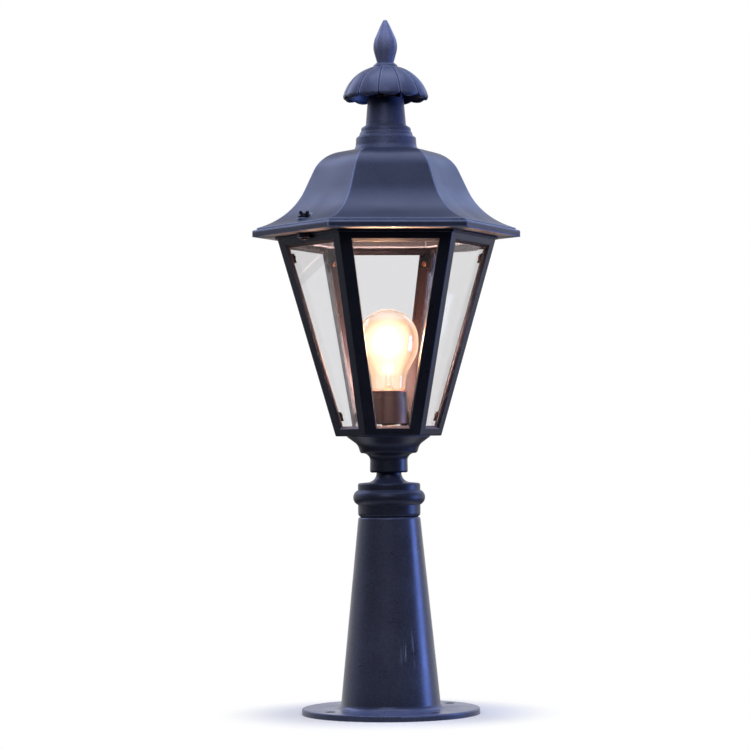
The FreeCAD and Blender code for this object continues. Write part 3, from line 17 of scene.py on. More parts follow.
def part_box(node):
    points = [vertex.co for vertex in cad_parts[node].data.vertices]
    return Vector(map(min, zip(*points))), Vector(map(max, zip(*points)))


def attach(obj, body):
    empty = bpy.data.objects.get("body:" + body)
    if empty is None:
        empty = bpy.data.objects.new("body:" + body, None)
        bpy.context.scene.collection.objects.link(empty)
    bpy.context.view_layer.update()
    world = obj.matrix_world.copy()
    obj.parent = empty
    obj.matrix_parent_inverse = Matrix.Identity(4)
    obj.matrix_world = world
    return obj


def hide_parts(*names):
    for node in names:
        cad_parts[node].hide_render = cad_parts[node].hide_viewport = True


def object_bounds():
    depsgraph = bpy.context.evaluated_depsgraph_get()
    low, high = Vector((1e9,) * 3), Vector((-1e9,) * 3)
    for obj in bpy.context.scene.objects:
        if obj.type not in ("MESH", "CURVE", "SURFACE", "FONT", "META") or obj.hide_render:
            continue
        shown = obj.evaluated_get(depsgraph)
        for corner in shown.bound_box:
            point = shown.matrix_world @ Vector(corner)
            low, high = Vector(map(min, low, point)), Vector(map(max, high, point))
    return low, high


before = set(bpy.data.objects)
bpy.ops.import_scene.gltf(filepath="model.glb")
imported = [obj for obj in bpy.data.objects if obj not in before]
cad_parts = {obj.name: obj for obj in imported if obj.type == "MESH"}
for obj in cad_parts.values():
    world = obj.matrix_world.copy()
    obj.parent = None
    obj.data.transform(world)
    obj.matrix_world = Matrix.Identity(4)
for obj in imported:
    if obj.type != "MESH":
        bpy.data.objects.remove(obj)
CAD_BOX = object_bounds()

MM = 0.001
LOG = logging.getLogger("pedestal_lamp")

# Curve of sRGB: a straight foot, then a power
SRGB_FOOT_END = 0.04045
SRGB_FOOT_SLOPE = 12.92
SRGB_OFFSET = 0.055
SRGB_POWER = 2.4
WHITE = "#ffffff"

# Socket places of the colour form of the Mix node, whose names repeat
MIX_FIRST = 6
MIX_SECOND = 7
MIX_RESULT = 2

# Span that holds most values of a noise texture, and the full span of a share
NOISE_SPAN = (0.3, 0.7)
UNIT_SPAN = (0.0, 1.0)

# Pitch of the screw thread on a household bulb's cap and in its holder
BULB_THREAD_PITCH = 3.63 * MM
# Largest angle between faces that are shaded as one smooth surface
SMOOTH_ANGLE = math.radians(50)
# Points that round each quarter of a wire
WIRE_ROUNDNESS = 2

Colour = tuple[float, float, float, float]
Span = tuple[float, float]
Triple = tuple[float, float, float]
Tree = bpy.types.NodeTree
Socket = bpy.types.NodeSocket


def linear(code: str) -> Colour:
    """Turn an sRGB hex colour into linear light.

    Args:
        code: Colour such as "#33405a".

    Returns:
        Red, green, blue and an alpha of one.
    """
    shares = [int(code[place:place + 2], 16) / 255 for place in (1, 3, 5)]
    red, green, blue = [share / SRGB_FOOT_SLOPE if share <= SRGB_FOOT_END
                        else ((share + SRGB_OFFSET) / (1 + SRGB_OFFSET)) ** SRGB_POWER
                        for share in shares]
    return red, green, blue, 1.0


def per_metre(size_mm: float) -> float:
    """Texture scale at which one feature of a pattern is a size in millimetres."""
    return 1 / (size_mm * MM)


def metres(span_mm: Span) -> Span:
    """Span in metres of one in millimetres."""
    return span_mm[0] * MM, span_mm[1] * MM


def around(middle: float, spread: float) -> Span:
    """Span that reaches equally far to both sides of a value."""
    return middle - spread, middle + spread


def add_node(tree: Tree, kind: str, inputs: dict | None = None, **settings) -> bpy.types.Node:
    """Add a node with its settings, socket values and links.

    Args:
        tree: Tree that gets the node.
        kind: Blender's name for the node's type.
        inputs: Socket name or place to a value, or to the output socket that feeds it.
        settings: Properties of the node itself.

    Returns:
        The new node.
    """
    node = tree.nodes.new(kind)
    for name, value in settings.items():
        setattr(node, name, value)
    for name, value in (inputs or {}).items():
        if isinstance(value, Socket):
            tree.links.new(value, node.inputs[name])
        else:
            node.inputs[name].default_value = value
    return node


def maths(tree: Tree, operation: str, first: Socket, second: Socket | float) -> Socket:
    """Result of a maths operation on two values.

    Args:
        tree: Tree that gets the node.
        operation: Blender's name for the operation.
        first: First value.
        second: Second value.

    Returns:
        The socket with the result.
    """
    return add_node(tree, "ShaderNodeMath", {0: first, 1: second}, operation=operation).outputs[0]


def largest(tree: Tree, values: Sequence[Socket]) -> Socket:
    """Largest of some values, as a socket."""
    answer = values[0]
    for value in values[1:]:
        answer = maths(tree, "MAXIMUM", answer, value)
    return answer


def rescaled(tree: Tree, value: Socket, source: Span, target: Span = UNIT_SPAN, **settings) -> Socket:
    """Map one span of values onto another.

    Args:
        tree: Tree that gets the node.
        value: Value to map.
        source: Span that it comes from.
        target: Span that it goes to.
        settings: Properties of the node.

    Returns:
        The socket with the mapped value, held at the target's ends unless the settings say otherwise.
    """
    return add_node(tree, "ShaderNodeMapRange",
                    {"Value": value, "From Min": source[0], "From Max": source[1], "To Min": target[0],
                     "To Max": target[1]}, **settings).outputs["Result"]


def blended(tree: Tree, share: Socket, first: Socket | str, second: Socket | str) -> Socket:
    """Blend two colours.

    Args:
        tree: Tree that gets the node.
        share: From 0, the first colour, to 1, the second.
        first: Hex colour, or a socket with a colour.
        second: Hex colour, or a socket with a colour.

    Returns:
        The socket with the blend.
    """
    start, end = [linear(colour) if isinstance(colour, str) else colour for colour in (first, second)]
    return add_node(tree, "ShaderNodeMix", {0: share, MIX_FIRST: start, MIX_SECOND: end},
                    data_type="RGBA").outputs[MIX_RESULT]


def tinted(tree: Tree, colour: Socket, share: Socket) -> Socket:
    """Colour times a share, as a socket."""
    return add_node(tree, "ShaderNodeVectorMath", {0: colour, 1: share}, operation="MULTIPLY").outputs[0]


def noise(tree: Tree, place: Socket, scale: float, detail: float, roughness: float = 0.5) -> Socket:
    """Cloudy noise.

    Args:
        tree: Tree that gets the node.
        place: Position that the noise is drawn at.
        scale: Features per unit of length.
        detail: Number of finer layers.
        roughness: Strength of the finer layers.

    Returns:
        The socket with the noise.
    """
    return add_node(tree, "ShaderNodeTexNoise",
                    {"Vector": place, "Scale": scale, "Detail": detail, "Roughness": roughness}).outputs[0]


def object_place(tree: Tree) -> Socket:
    """Position on the piece, in metres, as a socket."""
    return add_node(tree, "ShaderNodeTexCoord").outputs["Object"]


class Ray(Enum):
    """Kinds of ray that a shader can tell apart."""

    CAMERA = "Is Camera Ray"
    GLOSSY = "Is Glossy Ray"
    TRANSMISSION = "Is Transmission Ray"
    SHADOW = "Is Shadow Ray"
    DIFFUSE = "Is Diffuse Ray"


def any_ray(tree: Tree, *kinds: Ray) -> Socket:
    """Output that is one for rays of the given kinds and zero for others.

    Args:
        tree: Tree that gets the nodes.
        kinds: Kinds of ray to pick out.

    Returns:
        The socket with the answer.
    """
    path = add_node(tree, "ShaderNodeLightPath")
    return largest(tree, [path.outputs[kind.value] for kind in kinds])


def lit_through(tree: Tree, glass: Socket, colour: str) -> Socket:
    """Let lamps shine straight through a glass shader.

    Args:
        tree: Tree that gets the nodes.
        glass: Shader of the glass.
        colour: Hex colour that the light takes on.

    Returns:
        The shader socket.
    """
    clear = add_node(tree, "ShaderNodeBsdfTransparent", {"Color": linear(colour)}).outputs[0]
    straight = any_ray(tree, Ray.SHADOW, Ray.DIFFUSE)
    return add_node(tree, "ShaderNodeMixShader", {0: straight, 1: glass, 2: clear}).outputs[0]


@dataclass(frozen=True)
class Finish:
    """A real material and how its surface was made."""

    name: str

    def material(self) -> bpy.types.Material:
        """Material of this finish, made once and shared.

        Returns:
            The Blender material.
        """
        known = bpy.data.materials.get(self.name)
        if known is not None:
            return known
        made = bpy.data.materials.new(self.name)
        made.use_nodes = True
        made.node_tree.nodes.clear()
        add_node(made.node_tree, "ShaderNodeOutputMaterial", {"Surface": self.surface(made.node_tree)})
        return made

    def surface(self, tree: Tree) -> Socket:
        """Shader of the finish, given by each kind of finish."""
        raise NotImplementedError


@dataclass(frozen=True)
class Scuff:
    """A patch of pale vertical scratches in the paint."""

    centre_mm: Triple = (15.0, -44.0, 66.0)
    half_size_mm: Triple = (13.0, 24.0, 27.0)
    stroke_mm: Triple = (1.7, 6.0, 34.0)
    stroke_detail: float = 3.0
    stroke_span: Span = (0.56, 0.68)
    colour: str = "#7d86a6"

    def mask(self, tree: Tree, place: Socket) -> Socket:
        """Where the scratches lie.

        Args:
            tree: Tree that gets the nodes.
            place: Position on the piece, in metres.

        Returns:
            A socket from 0, sound paint, to 1, scratched.
        """
        patch_scale = tuple(per_metre(half) for half in self.half_size_mm)
        offset = tuple(-middle / half for middle, half in zip(self.centre_mm, self.half_size_mm))
        patch_place = add_node(tree, "ShaderNodeMapping",
                               {"Vector": place, "Scale": patch_scale, "Location": offset})
        patch = add_node(tree, "ShaderNodeTexGradient", {"Vector": patch_place.outputs[0]},
                         gradient_type="SPHERICAL")
        stroke_scale = tuple(per_metre(size) for size in self.stroke_mm)
        stroke_place = add_node(tree, "ShaderNodeMapping", {"Vector": place, "Scale": stroke_scale})
        strokes = noise(tree, stroke_place.outputs[0], 1.0, self.stroke_detail)
        return maths(tree, "MULTIPLY", patch.outputs["Fac"], rescaled(tree, strokes, self.stroke_span))


@dataclass(frozen=True)
class PaintedInnerShade:
    """Painted shade: a near-black colour on the inner side of a leaning six-sided cage, where shade falls.

    The levels are the cage's bottom and top, and the apothems are the reach of its outer faces there. The
    painted shade sets in between two depths behind those faces.
    """

    # Near-black painted shade for the cage's inside
    colour: str = "#0f0707"
    levels_mm: Span = (277.5, 476.3)
    apothems_mm: Span = (46.1, 95.6)
    depths_mm: Span = (2.7, 4.0)
    face_angles: Triple = (30.0, 90.0, 150.0)

    def mask(self, tree: Tree, place: Socket) -> Socket:
        """How far the surface lies behind the cage's outer faces.

        Args:
            tree: Tree that gets the nodes.
            place: Position on the piece, in metres.

        Returns:
            A socket from 0, outside, to 1, inside.
        """
        reaches = []
        for angle in self.face_angles:
            turn = math.radians(angle)
            along = add_node(tree, "ShaderNodeVectorMath",
                             {0: place, 1: (math.cos(turn), math.sin(turn), 0.0)}, operation="DOT_PRODUCT")
            reaches.append(add_node(tree, "ShaderNodeMath", {0: along.outputs["Value"]},
                                    operation="ABSOLUTE").outputs[0])
        height = add_node(tree, "ShaderNodeSeparateXYZ", {0: place}).outputs["Z"]
        face = rescaled(tree, height, metres(self.levels_mm), metres(self.apothems_mm), clamp=False)
        depth = maths(tree, "SUBTRACT", face, largest(tree, reaches))
        return rescaled(tree, depth, metres(self.depths_mm))


@dataclass(frozen=True)
class PaintedCasting(Finish):
    """Die-cast aluminium in baked satin paint.

    The paint gives a soft, slightly grainy sheen. Its edges carry a painted highlight and its grooves a
    painted shade. Where it faces up it is painted lighter, as if lit from above, and its inner side can get
    a near-black painted shade.
    """

    colour: str
    deep_colour: str
    # Painted highlight: up-facing surfaces are lightened as if lit from above
    top_light_colour: str = "#6a76a6"
    top_light_lean: Span = (0.15, 1.0)
    top_light_share: float = 0.5
    sheen_colour: str = "#b9c8ff"
    roughness: float = 0.38
    roughness_spread: float = 0.06
    shine: float = 0.34
    mottle_mm: float = 38.0
    mottle_detail: float = 5.0
    mottle_roughness: float = 0.62
    grain_mm: float = 1.6
    grain_detail: float = 2.0
    grain_contrast: float = 0.24
    grain_depth_mm: float = 0.05
    grain_strength: float = 0.7
    # Painted highlight along convex edges
    edge_highlight_colour: str = "#8b9ccb"
    edge_mm: float = 0.9
    edge_highlight_share: float = 0.45
    edge_likeness: Span = (0.995, 0.94)
    edge_openness: Span = (0.75, 0.95)
    # Painted shade in grooves and creases, darkened by ambient occlusion
    groove_mm: float = 5.0
    groove_openness: Span = (0.3, 0.9)
    groove_shade: float = 0.4
    samples: int = 6
    scuff: Scuff | None = None
    inside: PaintedInnerShade | None = None

    def surface(self, tree: Tree) -> Socket:
        """Shader with mottled colour, painted light on tops and edges, painted shade in grooves, and fine
        grain.

        Args:
            tree: Tree that gets the nodes.

        Returns:
            The shader socket.
        """
        place = object_place(tree)
        mottle = noise(tree, place, per_metre(self.mottle_mm), self.mottle_detail, self.mottle_roughness)
        # The real paint grain is finer than a pixel, so it is drawn coarse enough to show
        grain = noise(tree, place, per_metre(self.grain_mm), self.grain_detail)
        facing = add_node(tree, "ShaderNodeNewGeometry").outputs["Normal"]
        eased = add_node(tree, "ShaderNodeBevel", {"Radius": self.edge_mm * MM},
                         samples=self.samples).outputs[0]
        body = blended(tree, rescaled(tree, mottle, NOISE_SPAN), self.deep_colour, self.colour)
        body = tinted(tree, body, rescaled(tree, grain, NOISE_SPAN, around(1.0, self.grain_contrast)))
        # Painted top light and inner shade, and the real scratches
        body = self.lit_shaded_and_scuffed(tree, body, place, facing)
        # Painted edge highlight and painted groove shade
        body = self.edge_lit_groove_shaded(tree, body, facing, eased)
        gloss = rescaled(tree, mottle, NOISE_SPAN, around(self.roughness, self.roughness_spread))
        bump = add_node(tree, "ShaderNodeBump",
                        {"Strength": self.grain_strength, "Distance": self.grain_depth_mm * MM,
                         "Height": grain, "Normal": eased})
        return add_node(tree, "ShaderNodeBsdfPrincipled",
                        {"Base Color": body, "Roughness": gloss, "Specular IOR Level": self.shine,
                         "Specular Tint": linear(self.sheen_colour), "Normal": bump.outputs[0]}).outputs[0]

    def lit_shaded_and_scuffed(self, tree: Tree, body: Socket, place: Socket, facing: Socket) -> Socket:
        """Paint light on the tops, paint shade on the inside and scratch the scuffed patch.

        Args:
            tree: Tree that gets the nodes.
            body: Colour so far.
            place: Position on the piece, in metres.
            facing: Normal of the surface.

        Returns:
            The socket with the colour, its painted light and shade and its scratches.
        """
        # Painted highlight: the more a surface faces up, the lighter it is painted
        lean = add_node(tree, "ShaderNodeSeparateXYZ", {0: facing}).outputs["Z"]
        lit_from_above = rescaled(tree, lean, self.top_light_lean, (0.0, self.top_light_share))
        body = blended(tree, lit_from_above, body, self.top_light_colour)
        # The painted inner shade, then the real scratches
        for mark in (self.inside, self.scuff):
            if mark is not None:
                body = blended(tree, mark.mask(tree, place), body, mark.colour)
        return body

    def edge_lit_groove_shaded(self, tree: Tree, body: Socket, facing: Socket, eased: Socket) -> Socket:
        """Paint a highlight on the edges and paint shade in the grooves.

        Args:
            tree: Tree that gets the nodes.
            body: Colour so far.
            facing: Normal of the surface.
            eased: Normal with its edges rounded.

        Returns:
            The socket with the painted edge highlight and groove shade.
        """
        # Painted highlight on convex edges, where the rounded normal departs from the true one
        likeness = add_node(tree, "ShaderNodeVectorMath", {0: facing, 1: eased}, operation="DOT_PRODUCT")
        openness = add_node(tree, "ShaderNodeAmbientOcclusion", {"Distance": self.groove_mm * MM},
                            samples=self.samples, only_local=True).outputs["AO"]
        highlit = rescaled(tree, likeness.outputs["Value"], self.edge_likeness, (0.0, self.edge_highlight_share))
        proud = rescaled(tree, openness, self.edge_openness)
        pale = blended(tree, maths(tree, "MULTIPLY", highlit, proud), body, self.edge_highlight_colour)
        # Painted shade: grooves and creases darkened by ambient occlusion
        return tinted(tree, pale, rescaled(tree, openness, self.groove_openness, (self.groove_shade, 1.0)))


@dataclass(frozen=True)
class SheetGlass(Finish):
    """Clear drawn sheet glass, faintly grey, with the slow ripple that drawing leaves."""

    name: str = "drawn_sheet_glass"
    colour: str = "#f0f0f1"
    sheen_colour: str = "#a0a0a0"
    ior: float = 1.5
    roughness: float = 0.0
    ripple_mm: float = 46.0
    ripple_detail: float = 1.0
    ripple_depth_mm: float = 0.03
    ripple_strength: float = 0.3

    def surface(self, tree: Tree) -> Socket:
        """Shader of glass that lets lamps shine through.

        Args:
            tree: Tree that gets the nodes.

        Returns:
            The shader socket.
        """
        ripple = noise(tree, object_place(tree), per_metre(self.ripple_mm), self.ripple_detail)
        bump = add_node(tree, "ShaderNodeBump",
                        {"Strength": self.ripple_strength, "Distance": self.ripple_depth_mm * MM,
                         "Height": ripple})
        glass = add_node(tree, "ShaderNodeBsdfPrincipled",
                         {"Base Color": linear(self.colour), "Roughness": self.roughness, "IOR": self.ior,
                          "Transmission Weight": 1.0, "Specular Tint": linear(self.sheen_colour),
                          "Normal": bump.outputs[0]})
        return lit_through(tree, glass.outputs[0], self.colour)


@dataclass(frozen=True)
class BulbGlass(Finish):
    """Blown bulb glass, thinly etched inside, so that the light fills it up to its clear crown."""

    name: str = "etched_blown_bulb_glass"
    colour: str = "#f3e8da"
    # Painted shade and painted glow falloff towards the bulb's outline, by how squarely the glass faces the
    # view
    limb_shade_colour: str = "#d3a878"
    crown_colour: str = "#fffdfb"
    crown_mm: Span = (391.0, 397.0)
    glow: str = "#fff4e8"
    limb_painted_glow: str = "#ffd8b0"
    glow_strengths: Span = (0.13, 0.03)
    ior: float = 1.5
    roughness: float = 0.12

    def surface(self, tree: Tree) -> Socket:
        """Shader of glass whose lit etching fades towards the crown, with painted shade and dimmer glow at
        the limb.

        Args:
            tree: Tree that gets the nodes.

        Returns:
            The shader socket.
        """
        height = add_node(tree, "ShaderNodeSeparateXYZ", {0: object_place(tree)}).outputs["Z"]
        etching = rescaled(tree, height, metres(self.crown_mm), (1.0, 0.0), interpolation_type="SMOOTHSTEP")
        # Painted shade and dimmer painted glow where the glass turns away from the view
        slant = add_node(tree, "ShaderNodeLayerWeight").outputs["Facing"]
        haze_and_limb_shade = blended(tree, slant, self.colour, self.limb_shade_colour)
        strength = maths(tree, "MULTIPLY", rescaled(tree, slant, UNIT_SPAN, self.glow_strengths), etching)
        glass = add_node(tree, "ShaderNodeBsdfPrincipled",
                         {"Base Color": blended(tree, etching, self.crown_colour, haze_and_limb_shade),
                          "Roughness": self.roughness, "IOR": self.ior, "Transmission Weight": 1.0,
                          "Emission Color": blended(tree, slant, self.glow, self.limb_painted_glow),
                          "Emission Strength": strength})
        return lit_through(tree, glass.outputs[0], self.colour)


@dataclass(frozen=True)
class PlatedMetal(Finish):
    """Plated or bare metal hardware with faint handling marks."""

    name: str = "zinc_plated_steel"
    colour: str = "#b4b3ad"
    stain: str = "#8e8d88"
    roughness: float = 0.36
    roughness_spread: float = 0.08
    mark_mm: float = 2.5
    mark_detail: float = 4.0

    def surface(self, tree: Tree) -> Socket:
        """Shader of metal whose colour and gloss vary a little.

        Args:
            tree: Tree that gets the nodes.

        Returns:
            The shader socket.
        """
        marks = noise(tree, object_place(tree), per_metre(self.mark_mm), self.mark_detail)
        gloss = rescaled(tree, marks, UNIT_SPAN, around(self.roughness, self.roughness_spread))
        return add_node(tree, "ShaderNodeBsdfPrincipled",
                        {"Base Color": blended(tree, marks, self.stain, self.colour), "Metallic": 1.0,
                         "Roughness": gloss}).outputs[0]


@dataclass(frozen=True)
class Moulding(Finish):
    """Moulded plastic, phenolic or glass with a fine, uneven surface."""

    name: str = "moulded_phenolic"
    colour: str = "#47242a"
    fleck: str = "#2c1519"
    roughness: float = 0.38
    fleck_mm: float = 1.8
    fleck_detail: float = 3.0
    fleck_depth_mm: float = 0.04
    fleck_strength: float = 0.4

    def surface(self, tree: Tree) -> Socket:
        """Shader of a moulding with flecks and fine bumps.

        Args:
            tree: Tree that gets the nodes.

        Returns:
            The shader socket.
        """
        flecks = noise(tree, object_place(tree), per_metre(self.fleck_mm), self.fleck_detail)
        bump = add_node(tree, "ShaderNodeBump",
                        {"Strength": self.fleck_strength, "Distance": self.fleck_depth_mm * MM,
                         "Height": flecks})
        return add_node(tree, "ShaderNodeBsdfPrincipled",
                        {"Base Color": blended(tree, flecks, self.fleck, self.colour),
                         "Roughness": self.roughness, "Normal": bump.outputs[0]}).outputs[0]


@dataclass(frozen=True)
class GlowingTungsten(Finish):
    """Drawn tungsten wire at white heat."""

    name: str = "glowing_tungsten_wire"
    colour: str = "#5a5653"
    roughness: float = 0.4
    glow: str = "#ffe2ba"
    strength: float = 5.0

    def surface(self, tree: Tree) -> Socket:
        """Shader of hot wire, as a socket."""
        return add_node(tree, "ShaderNodeBsdfPrincipled",
                        {"Base Color": linear(self.colour), "Metallic": 1.0, "Roughness": self.roughness,
                         "Emission Color": linear(self.glow),
                         "Emission Strength": self.strength}).outputs[0]


@dataclass(frozen=True)
class StudioPaper(Finish):
    """Matt pale paper that takes the lamp's shadow near its foot and runs out to white."""

    name: str = "matt_pale_paper"
    colour: str = "#fbf8f1"
    fade: Span = (0.09, 0.18)

    def surface(self, tree: Tree) -> Socket:
        """Shader of paper that turns to plain white away from the lamp.

        Args:
            tree: Tree that gets the nodes.

        Returns:
            The shader socket.
        """
        reach = add_node(tree, "ShaderNodeVectorMath", {0: object_place(tree)}, operation="LENGTH")
        away = rescaled(tree, reach.outputs["Value"], self.fade, interpolation_type="SMOOTHSTEP")
        share = maths(tree, "MULTIPLY", away, any_ray(tree, Ray.CAMERA, Ray.GLOSSY, Ray.TRANSMISSION))
        paper = add_node(tree, "ShaderNodeBsdfDiffuse", {"Color": linear(self.colour)})
        white = add_node(tree, "ShaderNodeEmission", {"Color": linear(WHITE), "Strength": 1.0})
        return add_node(tree, "ShaderNodeMixShader",
                        {0: share, 1: paper.outputs[0], 2: white.outputs[0]}).outputs[0]


# One satin paint in lit and shaded copies: the roof, cage and cup are painted darker as painted shade, the
# neck, cap and finial lighter as painted light
ROOF_PAINT_SHADED = PaintedCasting(name="baked_satin_paint_on_cast_roof", colour="#282c3c", deep_colour="#222532",
                            top_light_colour="#313d5a", edge_mm=3.0, edge_highlight_share=0.8)
NECK_PAINT_LIT = PaintedCasting(name="satin_paint_with_painted_light_on_cast_neck", colour="#484d68",
                            deep_colour="#3e435a", top_light_colour="#56607f", edge_mm=1.4)
CAP_PAINT_LIT = PaintedCasting(name="baked_satin_paint_on_cast_cap", colour="#434863", deep_colour="#3a3f55",
                           top_light_colour="#535d80", edge_mm=1.8, edge_highlight_share=0.6)
FINIAL_PAINT_LIT = PaintedCasting(name="satin_paint_with_painted_light_on_cast_finial", colour="#676d90",
                              deep_colour="#5c617c", top_light_colour="#7480a9", edge_mm=1.4)
CAGE_PAINT_SHADED = PaintedCasting(name="baked_satin_paint_on_cast_cage", colour="#1e212c", deep_colour="#181a23",
                            top_light_colour="#3d4462", roughness=0.3, shine=0.42, edge_mm=0.4, edge_highlight_share=0.15,
                            inside=PaintedInnerShade())
CUP_PAINT_SHADED = PaintedCasting(name="baked_satin_paint_on_cast_cup", colour="#232632", deep_colour="#1d1f29",
                           top_light_colour="#4a5272")
SCUFFED_PAINT = PaintedCasting(name="scuffed_satin_paint_on_cast_aluminium", colour="#343848",
                               deep_colour="#2b2e3c", roughness=0.3, shine=0.42, scuff=Scuff())
PANE_GLASS = SheetGlass()
MOUNT_GLASS = SheetGlass(name="drawn_glass_mount", colour="#fbfbfa")
BULB_GLASS = BulbGlass()
ZINC = PlatedMetal()
YELLOW_ZINC = PlatedMetal(name="yellow_zinc_plated_steel", colour="#c79a58", stain="#a87c42", roughness=0.4)
BROWNED_STEEL = PlatedMetal(name="heat_browned_steel", colour="#4c3530", stain="#352522", roughness=0.5)
BLACK_OXIDE = PlatedMetal(name="black_oxide_steel", colour="#2b2d36", stain="#17181d", roughness=0.42)
BRASS = PlatedMetal(name="rolled_brass", colour="#c39a4b", stain="#9c7533", roughness=0.3)
BULB_METAL = PlatedMetal(name="pressed_aluminium_cap", colour="#cfc8b8", stain="#a9a294", roughness=0.33)
SOLDER = PlatedMetal(name="soft_solder", colour="#9a9a98", stain="#77777a", roughness=0.45)
PHENOLIC = Moulding()
BLACK_GLASS = Moulding(name="vitreous_black_glass", colour="#141416", fleck="#0c0c0d", roughness=0.12)
CONNECTOR = Moulding(name="moulded_nylon", colour="#c06a2c", fleck="#a85720", roughness=0.45)
TUNGSTEN = GlowingTungsten()


class LeadColour(Enum):
    """Colours of the insulation on the three leads."""

    lead_hot = "#1c1c1e"
    lead_neutral = "#e2e0d8"
    lead_ground = "#2f7d42"

    def finish(self) -> Moulding:
        """Extruded insulation in this colour."""
        return Moulding(name="extruded_pvc_" + self.name, colour=self.value, fleck=self.value,
                        roughness=0.5)


def dress(finish: Finish, *nodes: str) -> None:
    """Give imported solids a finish.

    Args:
        finish: Finish for all of them.
        nodes: Names of the solids.
    """
    for name in nodes:
        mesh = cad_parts[name].data
        mesh.materials.clear()
        mesh.materials.append(finish.material())
        LOG.info("%s: %s", name, finish.name)


def new_object(name: str, data: bpy.types.ID) -> bpy.types.Object:
    """Object that shows some data in the scene.

    Args:
        name: Name of the object.
        data: Its mesh, curve, light or camera.

    Returns:
        The new object.
    """
    made = bpy.data.objects.new(name, data)
    bpy.context.scene.collection.objects.link(made)
    return made


def new_piece(name: str, data: bpy.types.ID, finish: Finish, body: str) -> bpy.types.Object:
    """Add a made piece to the scene, on its body.

    Args:
        name: Name of the piece.
        data: Its mesh or curve.
        finish: Its finish.
        body: Body that it moves with.

    Returns:
        The new object.
    """
    data.materials.append(finish.material())
    piece = new_object(name, data)
    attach(piece, body)
    LOG.info("%s: made, %s", name, finish.name)
    return piece


@dataclass(frozen=True)
class Thread:
    """A rod or tube with a rolled screw thread on some of its length.

    The thread is a helical wave in the wall: each ring of points is pushed in by a share that turns with
    its height.
    """

    radius: float
    depth: float
    pitch: float
    spans: tuple[Span, ...]
    low: float
    high: float
    bore: float = 0.0
    wall_follows: bool = False
    segments: int = 48
    rings_per_turn: int = 8

    def heights(self) -> list[float]:
        """Heights of the rings: close together on the threads and only at the ends elsewhere.

        Returns:
            Sorted heights.
        """
        levels = {self.low, self.high}
        for start, end in self.spans:
            count = max(2, round((end - start) / self.pitch * self.rings_per_turn))
            levels.update(start + (end - start) * step / count for step in range(count + 1))
        return sorted(levels)

    def groove(self, height: float, turn: float) -> float:
        """Depth of the thread at a height and a turn about the axis, fading out at a span's ends.

        Args:
            height: Height along the rod.
            turn: Turn about the axis, in radians.

        Returns:
            How far the wall is pushed in.
        """
        for start, end in self.spans:
            if start <= height <= end:
                fade = min(1.0, (height - start) / self.pitch, (end - height) / self.pitch)
                wave = 0.5 + 0.5 * math.cos(math.tau * height / self.pitch - turn)
                return self.depth * fade * wave
        return 0.0

    def ring(self, radius: float, level: float, grooved: bool = True) -> list[Triple]:
        """Points of the wall round the axis at one height.

        Args:
            radius: Radius of the wall outside the thread.
            level: Height of the ring.
            grooved: Whether the thread runs in this wall.

        Returns:
            The points in order.
        """
        points = []
        for step in range(self.segments):
            turn = math.tau * step / self.segments
            reach = radius - (self.groove(level, turn) if grooved else 0.0)
            points.append((reach * math.cos(turn), reach * math.sin(turn), level))
        return points

    def mesh(self, name: str) -> bpy.types.Mesh:
        """Mesh of the rod or tube, closed at both ends.

        Args:
            name: Name of the mesh.

        Returns:
            The new mesh.
        """
        levels = self.heights()
        rings = [self.ring(self.radius, level) for level in levels]
        if self.bore:
            inner_levels = levels if self.wall_follows else [self.low, self.high]
            rings += [self.ring(self.bore, level, self.wall_follows) for level in reversed(inner_levels)]
        rows = [range(row * self.segments, (row + 1) * self.segments) for row in range(len(rings))]
        following = rows[1:] + rows[:1] if self.bore else rows[1:]
        faces = []
        for row, above in zip(rows, following):
            for step in range(self.segments):
                ahead = (step + 1) % self.segments
                faces.append((row[step], row[ahead], above[ahead], above[step]))
        if not self.bore:
            faces += [tuple(reversed(rows[0])), tuple(rows[-1])]
        made = bpy.data.meshes.new(name)
        made.from_pydata([point for ring in rings for point in ring], [], faces)
        made.set_sharp_from_angle(angle=SMOOTH_ANGLE)
        return made


def end_spans(low: float, high: float, length: float) -> tuple[Span, Span]:
    """Spans of a length at the two ends of a rod."""
    return (low, low + length), (high - length, high)


def wire(name: str, runs: Sequence[Sequence[Vector]], radius: float) -> bpy.types.Curve:
    """Round wire along one or more runs of points.

    Args:
        name: Name of the curve.
        runs: Points of each run.
        radius: Radius of the wire.

    Returns:
        The new curve.
    """
    curve = bpy.data.curves.new(name, "CURVE")
    curve.dimensions = "3D"
    curve.bevel_depth = radius
    curve.bevel_resolution = WIRE_ROUNDNESS
    curve.use_fill_caps = True
    for run in runs:
        spline = curve.splines.new("POLY")
        spline.points.add(len(run) - 1)
        for point, spot in zip(spline.points, run):
            point.co = (*spot, 1.0)
    return curve


@dataclass(frozen=True)
class Pedestal:
    """Flange, post, collar and cup, and the pipe that clamps them."""

    thread_pitch: float = 1.41 * MM
    thread_depth: float = 0.45 * MM
    thread_length: float = 16.0 * MM
    bore_radius: float = 4.6 * MM

    def build(self) -> None:
        """Dress the castings and hardware, and cut the pipe's threads."""
        dress(SCUFFED_PAINT, "pedestal")
        dress(CUP_PAINT_SHADED, "pedestal_collar", "fitter_cup")
        dress(ZINC, "stem_washer_lower", "stem_nut_lower", "stem_washer_upper", "stem_nut_upper",
              "ground_screw")
        dress(CONNECTOR, "wire_connectors")
        for colour in LeadColour:
            dress(colour.finish(), colour.name)
        low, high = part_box("stem_nipple")
        thread = Thread(radius=high.x, depth=self.thread_depth, pitch=self.thread_pitch,
                        spans=end_spans(low.z, high.z, self.thread_length), low=low.z, high=high.z,
                        bore=self.bore_radius)
        pipe = new_piece("stem_pipe", thread.mesh("stem_pipe"), ZINC, "lantern")
        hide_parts("stem_nipple")


